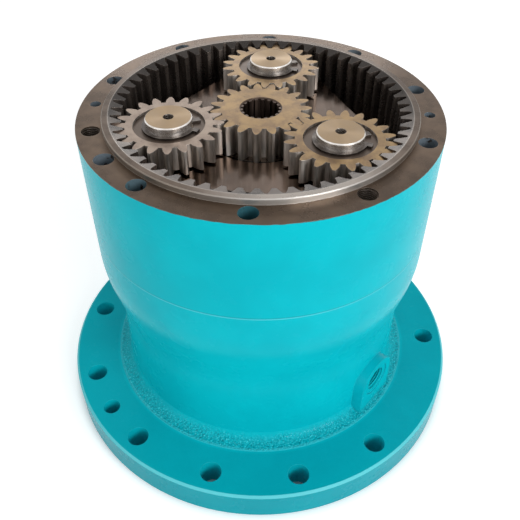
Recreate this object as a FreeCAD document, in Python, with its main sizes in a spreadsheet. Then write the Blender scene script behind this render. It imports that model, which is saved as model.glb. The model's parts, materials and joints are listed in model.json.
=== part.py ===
import FreeCAD, Part
import math
import os
import Sketcher
from FreeCAD import Placement, Rotation, Vector

# Two-stage planetary gear reducer of an excavator's swing drive.
# Millimetres, +Z up, origin in the middle of the flange's foot.
# Fixed: casing, ring gear, bearing cups and the seal cover under the flange.
# Turning: first sun > first planets > first carrier with the second sun > second planets > output hub.

PARTS_FOLDER = "parts"
UP = Vector(0, 0, 1)
FULL_TURN = 360.0
# How far a cutting tool reaches past the solid that it cuts
OVERCUT = 1
# Teeth start this much outside their base circle
BASE_CIRCLE_MARGIN = 1.004
# Half widths of a spline's teeth at the tip and the root, as shares of the pitch
SPLINE_TIP_SHARE = 0.2
SPLINE_ROOT_SHARE = 0.3

document = FreeCAD.newDocument("GearReducer")

# Driving dimensions: alias and number

DIMENSIONS = (
    # Toothing
    ("tooth_module", 4.5),
    ("pressure_angle", 20.0),
    ("ring_teeth", 61),
    ("first_sun_teeth", 19),
    ("first_planet_teeth", 20),
    ("second_sun_teeth", 17),
    ("second_planet_teeth", 22),
    ("ring_profile_shift", -0.043),
    ("tooth_backlash", 0.25),
    ("tooth_addendum", 1.0),
    ("tooth_dedendum", 1.25),
    ("first_centre_spread", 2.75),
    ("second_centre_spread", 0.0),
    ("ring_tooth_phase", 0.3),
    ("first_planet_angle", 83.4),
    ("second_planet_angle", 30.0),
    # Casing
    ("flange_land", 54.0),
    ("flange_thickness", 36.0),
    ("flange_chamfer", 2.5),
    ("foot_step", 1.5),
    ("neck_fillet_radius", 16.0),
    ("neck_fillet_height", 10.0),
    ("neck_inset", 14.0),
    ("band_height", 45.5),
    ("shoulder_angle", 13.24),
    ("shoulder_blend", 14.0),
    ("throat_wall", 28.0),
    ("throat_depth", 23.0),
    ("chamber_wall", 21.0),
    ("chamber_height", 100.0),
    ("sump_depth", 18.0),
    ("sump_seat_wall", 12.0),
    ("bearing_ledge_height", 6.0),
    ("bearing_ledge_width", 10.0),
    ("flange_hole_edge_distance", 22.75),
    ("flange_hole_radius", 11.4),
    ("flange_small_hole_radius", 9.35),
    # Oil port boss
    ("port_angle", -39.8),
    ("port_face_stand", 9.4),
    ("port_boss_depth", 30.0),
    ("port_boss_radius", 28.0),
    ("port_boss_draft", 3.0),
    ("port_height", 75.0),
    ("port_hole_radius", 14.0),
    ("port_spotface_radius", 20.0),
    ("port_spotface_depth", 1.5),
    ("port_bore_run_out", 3.0),
    # Ring gear
    ("ring_rim_width", 13.65),
    ("pilot_height", 5.8),
    ("pilot_chamfer", 0.8),
    ("ring_bevel_width", 12.0),
    ("ring_bevel_drop", 3.0),
    ("cover_bolt_pilot_distance", 10.1),
    ("cover_bolt_edge_distance", 14.0),
    ("cover_bolt_count", 10),
    ("cover_bolt_first_angle", 14.6),
    ("cover_bolt_hole_radius", 8.75),
    ("extra_hole_angle", 212.6),
    ("extra_hole_radius", 9.25),
    ("tapped_hole_radius", 7.0),
    ("tapped_hole_depth", 34.0),
    ("dowel_radius", 5.25),
    ("dowel_first_angle", 176.6),
    ("dowel_length", 30.0),
    # Main bearings
    ("upper_cup_radius", 115.0),
    ("lower_cup_radius", 105.0),
    ("upper_journal_radius", 70.0),
    ("lower_journal_radius", 65.0),
    ("bearing_width", 40.0),
    ("bearing_taper", 15.0),
    ("roller_radius", 9.5),
    ("roller_length", 28.0),
    ("roller_count", 18),
    ("roller_clearance", 0.15),
    ("cone_rib_width", 3.2),
    ("cone_rib_height", 5.7),
    ("spacer_wall", 6.0),
    # Seal cover under the flange
    ("cover_land", 23.0),
    ("cover_gap", 0.2),
    ("cover_recess", 4.0),
    ("cover_thickness", 14.0),
    ("cover_spigot_height", 12.0),
    ("cover_spigot_wall", 12.0),
    ("cover_screw_seat_distance", 11.5),
    ("cover_screw_count", 6),
    ("cover_screw_radius", 5.0),
    ("cover_screw_length", 22.0),
    ("cover_screw_head_radius", 8.0),
    ("cover_screw_head_clearance", 1.0),
    ("cover_screw_head_height", 9.0),
    ("cover_screw_socket_radius", 4.0),
    ("cover_screw_socket_depth", 4.5),
    ("cover_o_ring_size", 4.0),
    ("seal_radius", 75.0),
    ("seal_height", 10.0),
    ("lock_nut_radius", 84.0),
    ("lock_nut_height", 11.0),
    # Output hub
    ("hub_end_radius", 60.0),
    ("hub_boss_radius", 85.0),
    ("hub_boss_height", 10.0),
    ("second_carrier_inset", 9.25),
    ("second_carrier_thickness", 28.0),
    ("shaft_pilot_radius", 41.0),
    ("shaft_pilot_length", 16.0),
    ("shaft_spline_teeth", 20),
    ("shaft_spline_radius", 40.0),
    ("shaft_spline_depth", 3.5),
    ("shaft_bore_length", 150.0),
    # Second stage
    ("second_planet_width", 36.0),
    ("second_pin_radius", 25.0),
    ("second_bush_wall", 5.0),
    ("second_pin_rise", 1.5),
    ("second_sun_collar_radius", 54.0),
    ("second_sun_collar_height", 3.0),
    ("second_sun_thrust_radius", 34.0),
    ("second_sun_thrust_bore", 17.0),
    ("second_washer_land", 7.0),
    ("thrust_washer_thickness", 2.0),
    # First carrier
    ("first_carrier_inset", 9.25),
    ("first_carrier_flat_wall", 11.5),
    ("first_carrier_thickness", 22.5),
    ("carrier_counterbore_radius", 56.0),
    ("carrier_counterbore_depth", 9.0),
    ("carrier_spline_teeth", 24),
    ("carrier_spline_radius", 50.0),
    ("carrier_spline_depth", 2.5),
    ("spline_clearance", 0.15),
    ("stage_gap", 1.0),
    # First stage
    ("first_planet_width", 24.0),
    ("first_planet_stand", 2.5),
    ("first_pin_radius", 22.0),
    ("first_pin_rise", 7.5),
    ("first_bush_wall", 6.0),
    ("planet_recess_radius", 33.5),
    ("washer_clearance", 0.2),
    ("planet_recess_depth", 5.0),
    ("pin_chamfer", 1.0),
    ("pin_thread_radius", 5.0),
    ("pin_thread_depth", 18.0),
    ("retainer_washer_thickness", 2.5),
    ("circlip_thickness", 2.0),
    ("circlip_width", 4.5),
    ("circlip_groove_depth", 1.3),
    ("circlip_gap_angle", 14.0),
    ("circlip_lug_angle", 12.0),
    ("circlip_lug_rise", 4.5),
    ("first_sun_reach", 7.5),
    ("first_sun_drop", 0.5),
    ("first_sun_bore_radius", 19.6),
    ("first_sun_spline_teeth", 18),
    ("first_sun_spline_depth", 2.2),
    ("first_sun_bore_chamfer", 1.0),
    ("thrust_ring_inset", 4.0),
    # Fits
    ("running_fit", 0.06),
    ("axial_gap", 0.15),
)

sheet = document.addObject("Spreadsheet::Sheet", "Sizes")
for row, (alias, number) in enumerate(DIMENSIONS, start=1):
    sheet.set(f"A{row}", alias)
    sheet.set(f"B{row}", str(number))
    sheet.setAlias(f"B{row}", alias)
worked_sizes = document.addObject("App::VarSet", "Worked")
document.recompute()


class Size:
    """A number together with the expression that it comes from."""

    def __init__(self, number, text):
        self.number = float(number)
        self.text = text

    def __add__(self, other):
        other = as_size(other)
        return Size(self.number + other.number, f"{self.text} + {other.text}")

    def __sub__(self, other):
        other = as_size(other)
        return Size(self.number - other.number, f"{self.text} - ({other.text})")

    def __mul__(self, other):
        other = as_size(other)
        return Size(self.number * other.number, f"({self.text}) * ({other.text})")

    def __truediv__(self, other):
        other = as_size(other)
        return Size(self.number / other.number, f"({self.text}) / ({other.text})")


def as_size(value):
    return value if isinstance(value, Size) else Size(value, repr(float(value)))


def cell(alias):
    """A driving dimension of the sheet."""
    return Size(sheet.get(alias), f"Sizes.{alias}")


def worked(name, size):
    """A size worked out from others, kept under a name of its own."""
    worked_sizes.addProperty("App::PropertyFloat", name)
    worked_sizes.setExpression(name, size.text)
    return Size(size.number, f"Worked.{name}")


def cosine(angle):
    return Size(math.cos(math.radians(angle.number)), f"cos({angle.text})")


def sine(angle):
    return Size(math.sin(math.radians(angle.number)), f"sin({angle.text})")


def tangent(angle):
    return Size(math.tan(math.radians(angle.number)), f"tan({angle.text})")


ZERO = Size(0, "0.0")


# Outlines and solids


def origin_plane(body, role):
    return next(item for item in body.Origin.OriginFeatures if item.Role == role)


def new_body(label):
    body = document.addObject("PartDesign::Body", label)
    body.Label = label
    return body


def new_sketch(body, role):
    sketch = body.newObject("Sketcher::SketchObject", f"{body.Name}_sketch")
    sketch.AttachmentSupport = [(origin_plane(body, role), "")]
    sketch.MapMode = "FlatFace"
    return sketch


def bind_distance(sketch, kind, geometry, vertex, size):
    """Holds one coordinate of a vertex at a size, measured from the sketch's origin."""
    index = sketch.addConstraint(Sketcher.Constraint(kind, -1, 1, geometry, vertex, size.number))
    sketch.setExpression(f"Constraints[{index}]", size.text)


def draw_outline(sketch, points):
    """A closed outline. Each point is (x, y), or (x, y, radius, bulge) where an arc starts.

    bulge is +1 where the arc turns left on its way to the next point, and -1 where it turns right.
    """
    first = sketch.GeometryCount
    total = len(points)
    for index, point in enumerate(points):
        following = points[(index + 1) % total]
        start = Vector(point[0].number, point[1].number, 0)
        end = Vector(following[0].number, following[1].number, 0)
        if len(point) == 2:
            sketch.addGeometry(Part.LineSegment(start, end))
            continue
        radius = point[2].number
        chord = end - start
        left = Vector(-chord.y, chord.x, 0).normalize()
        half = chord.Length / 2
        centre = (start + end) / 2 + left * (point[3] * math.sqrt(max(0.0, radius**2 - half**2)))
        middle = centre - left * (point[3] * radius)
        sketch.addGeometry(Part.Arc(start, middle, end))
    for index, point in enumerate(points):
        here = first + index
        following = first + (index + 1) % total
        is_arc = len(point) == 4
        following_is_arc = len(points[(index + 1) % total]) == 4
        # An arc that turns right is stored the other way round, so its start is its second vertex.
        end_vertex = 1 if is_arc and point[3] < 0 else 2
        start_vertex = 2 if following_is_arc and points[(index + 1) % total][3] < 0 else 1
        sketch.addConstraint(Sketcher.Constraint("Coincident", here, end_vertex, following, start_vertex))
    for index, point in enumerate(points):
        here = first + index
        vertex = 2 if len(point) == 4 and point[3] < 0 else 1
        bind_distance(sketch, "DistanceX", here, vertex, point[0])
        bind_distance(sketch, "DistanceY", here, vertex, point[1])
        if len(point) == 4:
            constraint = sketch.addConstraint(Sketcher.Constraint("Radius", here, point[2].number))
            sketch.setExpression(f"Constraints[{constraint}]", point[2].text)


def draw_circle(sketch, x, y, radius):
    circle = Part.Circle(Vector(x.number, y.number, 0), UP, radius.number)
    index = sketch.addGeometry(circle)
    bind_distance(sketch, "DistanceX", index, 3, x)
    bind_distance(sketch, "DistanceY", index, 3, y)
    constraint = sketch.addConstraint(Sketcher.Constraint("Radius", index, radius.number))
    sketch.setExpression(f"Constraints[{constraint}]", radius.text)


def turn_profile(body, points):
    """Revolves an outline of (radius, height) points about the Z axis."""
    sketch = new_sketch(body, "XZ_Plane")
    draw_outline(sketch, points)
    revolution = body.newObject("PartDesign::Revolution", f"{body.Name}_turned")
    revolution.Profile = sketch
    revolution.ReferenceAxis = (sketch, ["V_Axis"])
    revolution.Angle = FULL_TURN
    return revolution


def turned(label, points):
    body = new_body(label)
    turn_profile(body, points)
    return body


def ring_profile(inner, outer, bottom, top):
    return [(inner, bottom), (outer, bottom), (outer, top), (inner, top)]


def bore_holes(body, places, radius, bottom, depth):
    """Bores round holes along Z at (x, y) places, from a bottom level upwards."""
    sketch = new_sketch(body, "XY_Plane")
    sketch.setExpression("AttachmentOffset.Base.z", bottom.text)
    for x, y in places:
        draw_circle(sketch, x, y, radius)
    pocket = body.newObject("PartDesign::Pocket", f"{body.Name}_holes")
    pocket.Profile = sketch
    pocket.Type = "Length"
    pocket.setExpression("Length", depth.text)
    pocket.Reversed = True
    return pocket


def on_circle(radius, angle):
    return radius * cosine(angle), radius * sine(angle)


def around(radius, count, first_angle):
    """Places spaced evenly round a circle."""
    step = as_size(FULL_TURN) / count
    return [on_circle(radius, first_angle + step * index) for index in range(round(count.number))]


def placed(source, label, x, y, turn=0.0):
    """A copy of a piece that stands on the main axis, moved sideways and turned about its own axis."""
    copy = document.addObject("Part::Compound", label)
    copy.Label = label
    copy.Links = [source]
    copy.Placement = Placement(Vector(x.number, y.number, 0), Rotation(UP, turn))
    copy.setExpression("Placement.Base.x", x.text)
    copy.setExpression("Placement.Base.y", y.text)
    return copy


def grouped(source, label, places):
    """One node that holds the same piece at several places."""
    group = document.addObject("Part::Compound", label)
    group.Label = label
    group.Links = [placed(source, f"{label}_{index}", x, y) for index, (x, y) in enumerate(places, start=1)]
    return group


def code_shape(label, shape):
    feature = document.addObject("Part::Feature", label)
    feature.Label = label
    feature.Shape = shape
    return feature


def extruded(label, outline, bottom, height):
    extrusion = document.addObject("Part::Extrusion", label)
    extrusion.Label = label
    extrusion.Base = outline
    extrusion.DirMode = "Custom"
    extrusion.Dir = UP
    extrusion.Solid = True
    extrusion.LengthFwd = height.number
    extrusion.setExpression("LengthFwd", height.text)
    extrusion.Placement = Placement(Vector(0, 0, bottom.number), Rotation())
    extrusion.setExpression("Placement.Base.z", bottom.text)
    return extrusion


def common(label, base, tool):
    result = document.addObject("Part::Common", label)
    result.Label = label
    result.Base = base
    result.Tool = tool
    return result


def cut(label, base, tool):
    result = document.addObject("Part::Cut", label)
    result.Label = label
    result.Base = base
    result.Tool = tool
    return result


# Teeth. Planets share one ring gear, so each tooth is made to fit the space that it runs in.


def involute(angle):
    return math.tan(angle) - angle


MODULE = cell("tooth_module")
PRESSURE = math.radians(cell("pressure_angle").number)
BACKLASH = cell("tooth_backlash").number
ADDENDUM = cell("tooth_addendum").number
DEDENDUM = cell("tooth_dedendum").number


class ToothedOutline:
    """Involute teeth, or the tooth spaces of the ring gear, which have the same form."""

    def __init__(self, teeth, shift):
        self.teeth = round(teeth.number)
        self.pitch_radius = MODULE.number * self.teeth / 2
        self.base_radius = self.pitch_radius * math.cos(PRESSURE)
        self.tip_radius = self.pitch_radius + MODULE.number * (ADDENDUM + shift)
        self.root_radius = self.pitch_radius - MODULE.number * (DEDENDUM - shift)
        self.start_radius = max(self.root_radius, self.base_radius * BASE_CIRCLE_MARGIN)
        self.base_half_angle = 0.0

    def set_thickness(self, radius, thickness):
        """Sets the width of the teeth, measured along the circle of a radius."""
        self.base_half_angle = thickness / (2 * radius) + involute(math.acos(self.base_radius / radius))

    def half_angle(self, radius):
        return self.base_half_angle - involute(math.acos(self.base_radius / radius))

    def thickness(self, radius):
        return 2 * radius * self.half_angle(radius)

    def face(self):
        """The outline as a face at height zero, with a tooth centred on the X axis."""
        pitch = 2 * math.pi / self.teeth
        middle_radius = (self.start_radius + self.tip_radius) / 2
        start_half = self.half_angle(self.start_radius)
        middle_half = self.half_angle(middle_radius)
        tip_half = self.half_angle(self.tip_radius)
        edges = []
        for index in range(self.teeth):
            centre = index * pitch
            rise = [
                polar(self.start_radius, centre - start_half),
                polar(middle_radius, centre - middle_half),
                polar(self.tip_radius, centre - tip_half),
            ]
            fall = [
                polar(self.tip_radius, centre + tip_half),
                polar(middle_radius, centre + middle_half),
                polar(self.start_radius, centre + start_half),
            ]
            edges.append(Part.Arc(*rise).toShape())
            edges.append(Part.Arc(rise[2], polar(self.tip_radius, centre), fall[0]).toShape())
            edges.append(Part.Arc(*fall).toShape())
            space_end = polar(self.start_radius, centre + pitch - start_half)
            if self.root_radius < self.start_radius:
                root_start = polar(self.root_radius, centre + start_half)
                root_end = polar(self.root_radius, centre + pitch - start_half)
                edges.append(Part.makeLine(fall[2], root_start))
                root_middle = polar(self.root_radius, centre + pitch / 2)
                edges.append(Part.Arc(root_start, root_middle, root_end).toShape())
                edges.append(Part.makeLine(root_end, space_end))
            else:
                root_middle = polar(self.root_radius, centre + pitch / 2)
                edges.append(Part.Arc(fall[2], root_middle, space_end).toShape())
        return Part.Face(Part.Wire(edges))


def polar(radius, angle):
    return Vector(radius * math.cos(angle), radius * math.sin(angle), 0)


def spline_face(teeth, root_radius, tip_radius):
    """A straight-sided spline, with a tooth centred on the X axis."""
    pitch = 2 * math.pi / teeth
    tip_half = pitch * SPLINE_TIP_SHARE
    root_half = pitch * SPLINE_ROOT_SHARE
    edges = []
    for index in range(teeth):
        centre = index * pitch
        root_end = polar(root_radius, centre + pitch - root_half)
        rise = polar(tip_radius, centre - tip_half)
        fall = polar(tip_radius, centre + tip_half)
        root_start = polar(root_radius, centre + root_half)
        edges.append(Part.makeLine(polar(root_radius, centre - root_half), rise))
        edges.append(Part.Arc(rise, polar(tip_radius, centre), fall).toShape())
        edges.append(Part.makeLine(fall, root_start))
        edges.append(Part.Arc(root_start, polar(root_radius, centre + pitch / 2), root_end).toShape())
    return Part.Face(Part.Wire(edges))


ring_teeth = cell("ring_teeth")
ring_shift = cell("ring_profile_shift").number
ring_spaces = ToothedOutline(ring_teeth, ring_shift)
# The ring's spaces are open towards the axis: they start at the tips of its teeth.
ring_spaces.root_radius = ring_spaces.pitch_radius - MODULE.number * (ADDENDUM - ring_shift)
ring_spaces.start_radius = ring_spaces.root_radius
ring_spaces.tip_radius = ring_spaces.pitch_radius + MODULE.number * (DEDENDUM + ring_shift)
ring_spaces.set_thickness(
    ring_spaces.pitch_radius,
    MODULE.number * (math.pi / 2 + 2 * ring_shift * math.tan(PRESSURE)),
)


class PlanetStage:
    """One sun and its planets inside the ring gear: centre distance, shifts, teeth and rest angles."""

    def __init__(self, sun_teeth, planet_teeth, spread, first_angle):
        self.sun_teeth = round(sun_teeth.number)
        self.planet_teeth = round(planet_teeth.number)
        self.centre_distance = MODULE * (sun_teeth + planet_teeth) / 2 + spread
        distance = self.centre_distance.number
        planet_shift = ring_shift - self.shift_sum(ring_spaces.teeth - self.planet_teeth, distance)
        sun_shift = self.shift_sum(self.sun_teeth + self.planet_teeth, distance) - planet_shift
        self.planet = ToothedOutline(planet_teeth, planet_shift)
        self.sun = ToothedOutline(sun_teeth, sun_shift)
        internal = distance / (ring_spaces.teeth - self.planet_teeth)
        space = ring_spaces.thickness(internal * ring_spaces.teeth)
        self.planet.set_thickness(internal * self.planet_teeth, space - BACKLASH)
        external = distance / (self.sun_teeth + self.planet_teeth)
        planet_tooth = self.planet.thickness(external * self.planet_teeth)
        circular_pitch = 2 * math.pi * external
        self.sun.set_thickness(external * self.sun_teeth, circular_pitch - planet_tooth - BACKLASH)
        # Three planets fit where their angles are whole steps of a turn over sun plus ring teeth.
        steps = self.sun_teeth + ring_spaces.teeth
        third = round(steps / 3)
        self.angles = [
            first_angle,
            first_angle + FULL_TURN * (steps - 2 * third) / steps,
            first_angle + FULL_TURN * (steps - third) / steps,
        ]
        self.places = [on_circle(self.centre_distance, angle) for angle in self.angles]

    @staticmethod
    def shift_sum(teeth, distance):
        """The profile shifts that a pair of gears needs to run at a centre distance."""
        working = math.acos(MODULE.number * teeth * math.cos(PRESSURE) / (2 * distance))
        return teeth * (involute(working) - involute(PRESSURE)) / (2 * math.tan(PRESSURE))

    def planet_turn(self, angle):
        """How far a planet is turned so that one of its teeth points into a space of the ring."""
        ring_pitch = FULL_TURN / ring_spaces.teeth
        past_space = (angle.number - cell("ring_tooth_phase").number) % ring_pitch
        return angle.number - past_space * ring_spaces.teeth / self.planet_teeth

    def sun_turn(self):
        """How far the sun is turned so that its teeth stand in the spaces of the first planet."""
        angle = self.angles[0].number
        planet_pitch = FULL_TURN / self.planet_teeth
        past_tooth = (angle + 180 - self.planet_turn(self.angles[0])) % planet_pitch
        space_angle = angle + past_tooth * self.planet_teeth / self.sun_teeth
        return space_angle + FULL_TURN / self.sun_teeth / 2


first_stage = PlanetStage(
    cell("first_sun_teeth"),
    cell("first_planet_teeth"),
    cell("first_centre_spread"),
    cell("first_planet_angle"),
)
second_stage = PlanetStage(
    cell("second_sun_teeth"),
    cell("second_planet_teeth"),
    cell("second_centre_spread"),
    cell("second_planet_angle"),
)

# Radii of the casing and the ring gear, outwards from the toothing

ring_pitch_radius = worked("ring_pitch_radius", cell("tooth_module") * cell("ring_teeth") / 2)
pilot_radius = worked("pilot_radius", ring_pitch_radius + cell("ring_rim_width"))
cover_bolt_circle = worked("cover_bolt_circle", pilot_radius + cell("cover_bolt_pilot_distance"))
casing_radius = worked("casing_radius", cover_bolt_circle + cell("cover_bolt_edge_distance"))
neck_radius = worked("neck_radius", casing_radius - cell("neck_inset"))
foot_radius = worked("foot_radius", neck_radius + cell("neck_fillet_radius"))
flange_radius = worked("flange_radius", foot_radius + cell("flange_land"))
flange_hole_circle = worked("flange_hole_circle", flange_radius - cell("flange_hole_edge_distance"))
throat_radius = worked("throat_radius", casing_radius - cell("throat_wall"))
chamber_radius = worked("chamber_radius", neck_radius - cell("chamber_wall"))
port_face_distance = worked("port_face_distance", neck_radius + cell("port_face_stand"))
cover_radius = worked("cover_radius", cell("lower_cup_radius") + cell("cover_land"))
cover_screw_circle = worked(
    "cover_screw_circle", cell("lower_cup_radius") + cell("cover_screw_seat_distance")
)
second_carrier_radius = worked(
    "second_carrier_radius", ring_pitch_radius - cell("second_carrier_inset")
)
first_carrier_radius = worked("first_carrier_radius", ring_pitch_radius - cell("first_carrier_inset"))

# Levels, from the foot upwards

gap = cell("axial_gap")
cover_bottom = cell("cover_recess")
cover_top = worked("cover_top", cover_bottom + cell("cover_thickness"))
lower_seat_bottom = worked("lower_seat_bottom", cover_top + cell("cover_spigot_height"))
lower_seat_top = worked("lower_seat_top", lower_seat_bottom + cell("bearing_width"))
chamber_bottom = worked("chamber_bottom", lower_seat_top + cell("bearing_ledge_height"))
chamber_top = worked("chamber_top", chamber_bottom + cell("chamber_height"))
upper_seat_bottom = worked("upper_seat_bottom", chamber_top + cell("bearing_ledge_height"))
upper_seat_top = worked("upper_seat_top", upper_seat_bottom + cell("bearing_width"))
seam_level = worked("seam_level", upper_seat_top + cell("throat_depth"))
second_carrier_bottom = worked("second_carrier_bottom", upper_seat_top + cell("hub_boss_height"))
second_carrier_top = worked(
    "second_carrier_top", second_carrier_bottom + cell("second_carrier_thickness")
)
second_planet_bottom = worked(
    "second_planet_bottom", second_carrier_top + cell("thrust_washer_thickness") + gap
)
second_planet_top = worked("second_planet_top", second_planet_bottom + cell("second_planet_width"))
second_washer_bottom = worked("second_washer_bottom", second_planet_top + gap)
second_clip_bottom = worked(
    "second_clip_bottom", second_washer_bottom + cell("retainer_washer_thickness")
)
second_clip_top = worked("second_clip_top", second_clip_bottom + cell("circlip_thickness"))
second_pin_top = worked("second_pin_top", second_clip_top + cell("second_pin_rise"))
first_carrier_bottom = worked("first_carrier_bottom", second_pin_top + cell("stage_gap"))
first_carrier_top = worked("first_carrier_top", first_carrier_bottom + cell("first_carrier_thickness"))
spline_top = worked("spline_top", first_carrier_top - cell("carrier_counterbore_depth"))
first_planet_bottom = worked(
    "first_planet_bottom", first_carrier_top + cell("thrust_washer_thickness") + gap
)
first_planet_top = worked("first_planet_top", first_planet_bottom + cell("first_planet_width"))
first_recess_floor = worked("first_recess_floor", first_planet_top - cell("planet_recess_depth"))
first_washer_bottom = worked("first_washer_bottom", first_recess_floor + gap)
first_clip_bottom = worked(
    "first_clip_bottom", first_washer_bottom + cell("retainer_washer_thickness")
)
first_clip_top = worked("first_clip_top", first_clip_bottom + cell("circlip_thickness"))
first_pin_top = worked("first_pin_top", first_planet_top + cell("first_pin_rise"))
first_sun_bottom = worked("first_sun_bottom", first_planet_bottom - cell("first_sun_reach"))
first_sun_top = worked("first_sun_top", first_planet_top - cell("first_sun_drop"))
ring_top = worked("ring_top", first_planet_top - cell("first_planet_stand"))
pilot_top = worked("pilot_top", ring_top + cell("pilot_height"))

fit = cell("running_fit")
first_gear_bore = worked("first_gear_bore", cell("first_pin_radius") + cell("first_bush_wall"))
second_gear_bore = worked("second_gear_bore", cell("second_pin_radius") + cell("second_bush_wall"))

bolt_places = around(
    cover_bolt_circle, cell("cover_bolt_count"), cell("cover_bolt_first_angle")
)
dowel_places = around(cover_bolt_circle, as_size(2), cell("dowel_first_angle"))
extra_hole_place = on_circle(cover_bolt_circle, cell("extra_hole_angle"))
cover_screw_places = around(cover_screw_circle, cell("cover_screw_count"), ZERO)


# Casing: foot flange, neck and band in one casting

FLANGE_HOLE_ANGLES = (52.8, 78.6, 104.4, 130.3, 170.3, 199.8, 229.7, 255.6, 281.4, 307.2, 357.2)
FLANGE_SMALL_HOLE_ANGLES = (215.1,)


def make_casing():
    body = new_body("casing")
    flange_top = cell("flange_thickness")
    neck_foot = flange_top + cell("foot_step")
    band_bottom = seam_level - cell("band_height")
    lower_bore = cell("lower_cup_radius")
    upper_bore = cell("upper_cup_radius")
    ledge = cell("bearing_ledge_width")
    slope = cell("shoulder_angle")
    blend = cell("shoulder_blend")
    blend_radius = blend / tangent(slope / 2)
    blend_across = blend * sine(slope)
    blend_along = blend * cosine(slope)
    cone_bottom = band_bottom - cell("neck_inset") / tangent(slope)
    turn_profile(body, [
        (cover_radius, ZERO),
        (flange_radius, ZERO),
        (flange_radius, flange_top - cell("flange_chamfer")),
        (flange_radius - cell("flange_chamfer"), flange_top),
        (foot_radius, flange_top),
        (foot_radius, neck_foot, cell("neck_fillet_radius"), -1),
        (neck_radius, neck_foot + cell("neck_fillet_height")),
        (neck_radius, cone_bottom - blend, blend_radius, -1),
        (neck_radius + blend_across, cone_bottom + blend_along),
        (casing_radius - blend_across, band_bottom - blend_along, blend_radius, +1),
        (casing_radius, band_bottom + blend),
        (casing_radius, seam_level),
        (throat_radius, seam_level),
        (throat_radius, upper_seat_top),
        (upper_bore, upper_seat_top),
        (upper_bore, upper_seat_bottom),
        (upper_bore - ledge, upper_seat_bottom),
        (upper_bore - ledge, chamber_top),
        (chamber_radius, chamber_top),
        (chamber_radius, chamber_bottom - cell("sump_depth")),
        (lower_bore + cell("sump_seat_wall"), chamber_bottom),
        (lower_bore - ledge, chamber_bottom),
        (lower_bore - ledge, lower_seat_top),
        (lower_bore, lower_seat_top),
        (lower_bore, cover_top),
        (cover_radius, cover_top),
    ])
    add_port_boss(body)
    circle = flange_hole_circle
    places = [on_circle(circle, as_size(angle)) for angle in FLANGE_HOLE_ANGLES]
    bore_holes(body, places, cell("flange_hole_radius"), ZERO, flange_top)
    places = [on_circle(circle, as_size(angle)) for angle in FLANGE_SMALL_HOLE_ANGLES]
    bore_holes(body, places, cell("flange_small_hole_radius"), ZERO, flange_top)
    depth = cell("tapped_hole_depth")
    bore_holes(body, bolt_places, cell("tapped_hole_radius"), seam_level - depth, depth)
    depth = cell("dowel_length") / 2
    bore_holes(body, dowel_places, cell("dowel_radius"), seam_level - depth, depth)
    bore_holes(body, cover_screw_places, cell("cover_screw_radius"), cover_top, cell("cover_screw_length"))
    return body


def face_port_sketch(sketch, distance):
    """Stands a sketch upright, facing outwards at the port's angle, at a distance from the axis."""
    outwards = cell("port_angle")
    sketch.AttachmentOffset = Placement(
        Vector(0, 0, 0), Rotation(Vector(0, 1, 0), outwards.number + 90)
    )
    sketch.setExpression("AttachmentOffset.Base.x", (distance * cosine(outwards)).text)
    sketch.setExpression("AttachmentOffset.Base.z", (ZERO - distance * sine(outwards)).text)


def add_port_boss(body):
    """The flat-faced oil port on the neck, arched at the top and drafted towards the neck."""
    face = port_face_distance
    radius = cell("port_boss_radius")
    left = ZERO - radius
    foot = cell("flange_thickness") / 2
    sketch = new_sketch(body, "XZ_Plane")
    face_port_sketch(sketch, face)
    draw_outline(sketch, [
        (left, foot),
        (radius, foot),
        (radius, cell("port_height"), radius, +1),
        (ZERO, cell("port_height") + radius, radius, +1),
        (left, cell("port_height")),
    ])
    boss = body.newObject("PartDesign::Pad", "port_boss")
    boss.Profile = sketch
    boss.setExpression("Length", cell("port_boss_depth").text)
    boss.setExpression("TaperAngle", cell("port_boss_draft").text)
    boss.Reversed = True
    for name, size, depth in (
        ("port_spotface", cell("port_spotface_radius"), cell("port_spotface_depth")),
        ("port_bore", cell("port_hole_radius"), face - chamber_radius + cell("port_bore_run_out")),
    ):
        sketch = new_sketch(body, "XZ_Plane")
        face_port_sketch(sketch, face)
        draw_circle(sketch, ZERO, cell("port_height"), size)
        pocket = body.newObject("PartDesign::Pocket", name)
        pocket.Profile = sketch
        pocket.setExpression("Length", depth.text)


# Ring gear, clamped between the casing and the motor side


def make_ring_gear():
    tip = as_size(ring_spaces.root_radius)
    bevel_radius = tip + cell("ring_bevel_width")
    chamfer = cell("pilot_chamfer")
    blank = turned("ring_gear_blank", [
        (tip - OVERCUT, seam_level),
        (casing_radius, seam_level),
        (casing_radius, ring_top),
        (pilot_radius, ring_top),
        (pilot_radius, pilot_top - chamfer),
        (pilot_radius - chamfer, pilot_top),
        (bevel_radius, pilot_top),
        (tip - OVERCUT, pilot_top - cell("ring_bevel_drop")),
    ])
    height = ring_top - seam_level
    bore_holes(blank, bolt_places, cell("cover_bolt_hole_radius"), seam_level, height)
    bore_holes(blank, [extra_hole_place], cell("extra_hole_radius"), seam_level, height)
    bore_holes(blank, dowel_places, cell("dowel_radius"), seam_level, height)
    spaces = code_shape("ring_gear_spaces", ring_spaces.face())
    spaces.Placement = Placement(Vector(0, 0, 0), Rotation(UP, cell("ring_tooth_phase").number))
    core = extruded("ring_gear_core", spaces, seam_level - OVERCUT, pilot_top - seam_level + 2 * OVERCUT)
    return cut("ring_gear", blank, core)


def make_dowels():
    half = cell("dowel_length") / 2
    dowel = turned("dowel", [
        (ZERO, seam_level - half),
        (cell("dowel_radius"), seam_level - half),
        (cell("dowel_radius"), seam_level + half),
        (ZERO, seam_level + half),
    ])
    return grouped(dowel, "dowel_pins", dowel_places)


# Main bearings: two tapered roller bearings, their wide ends outwards


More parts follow.
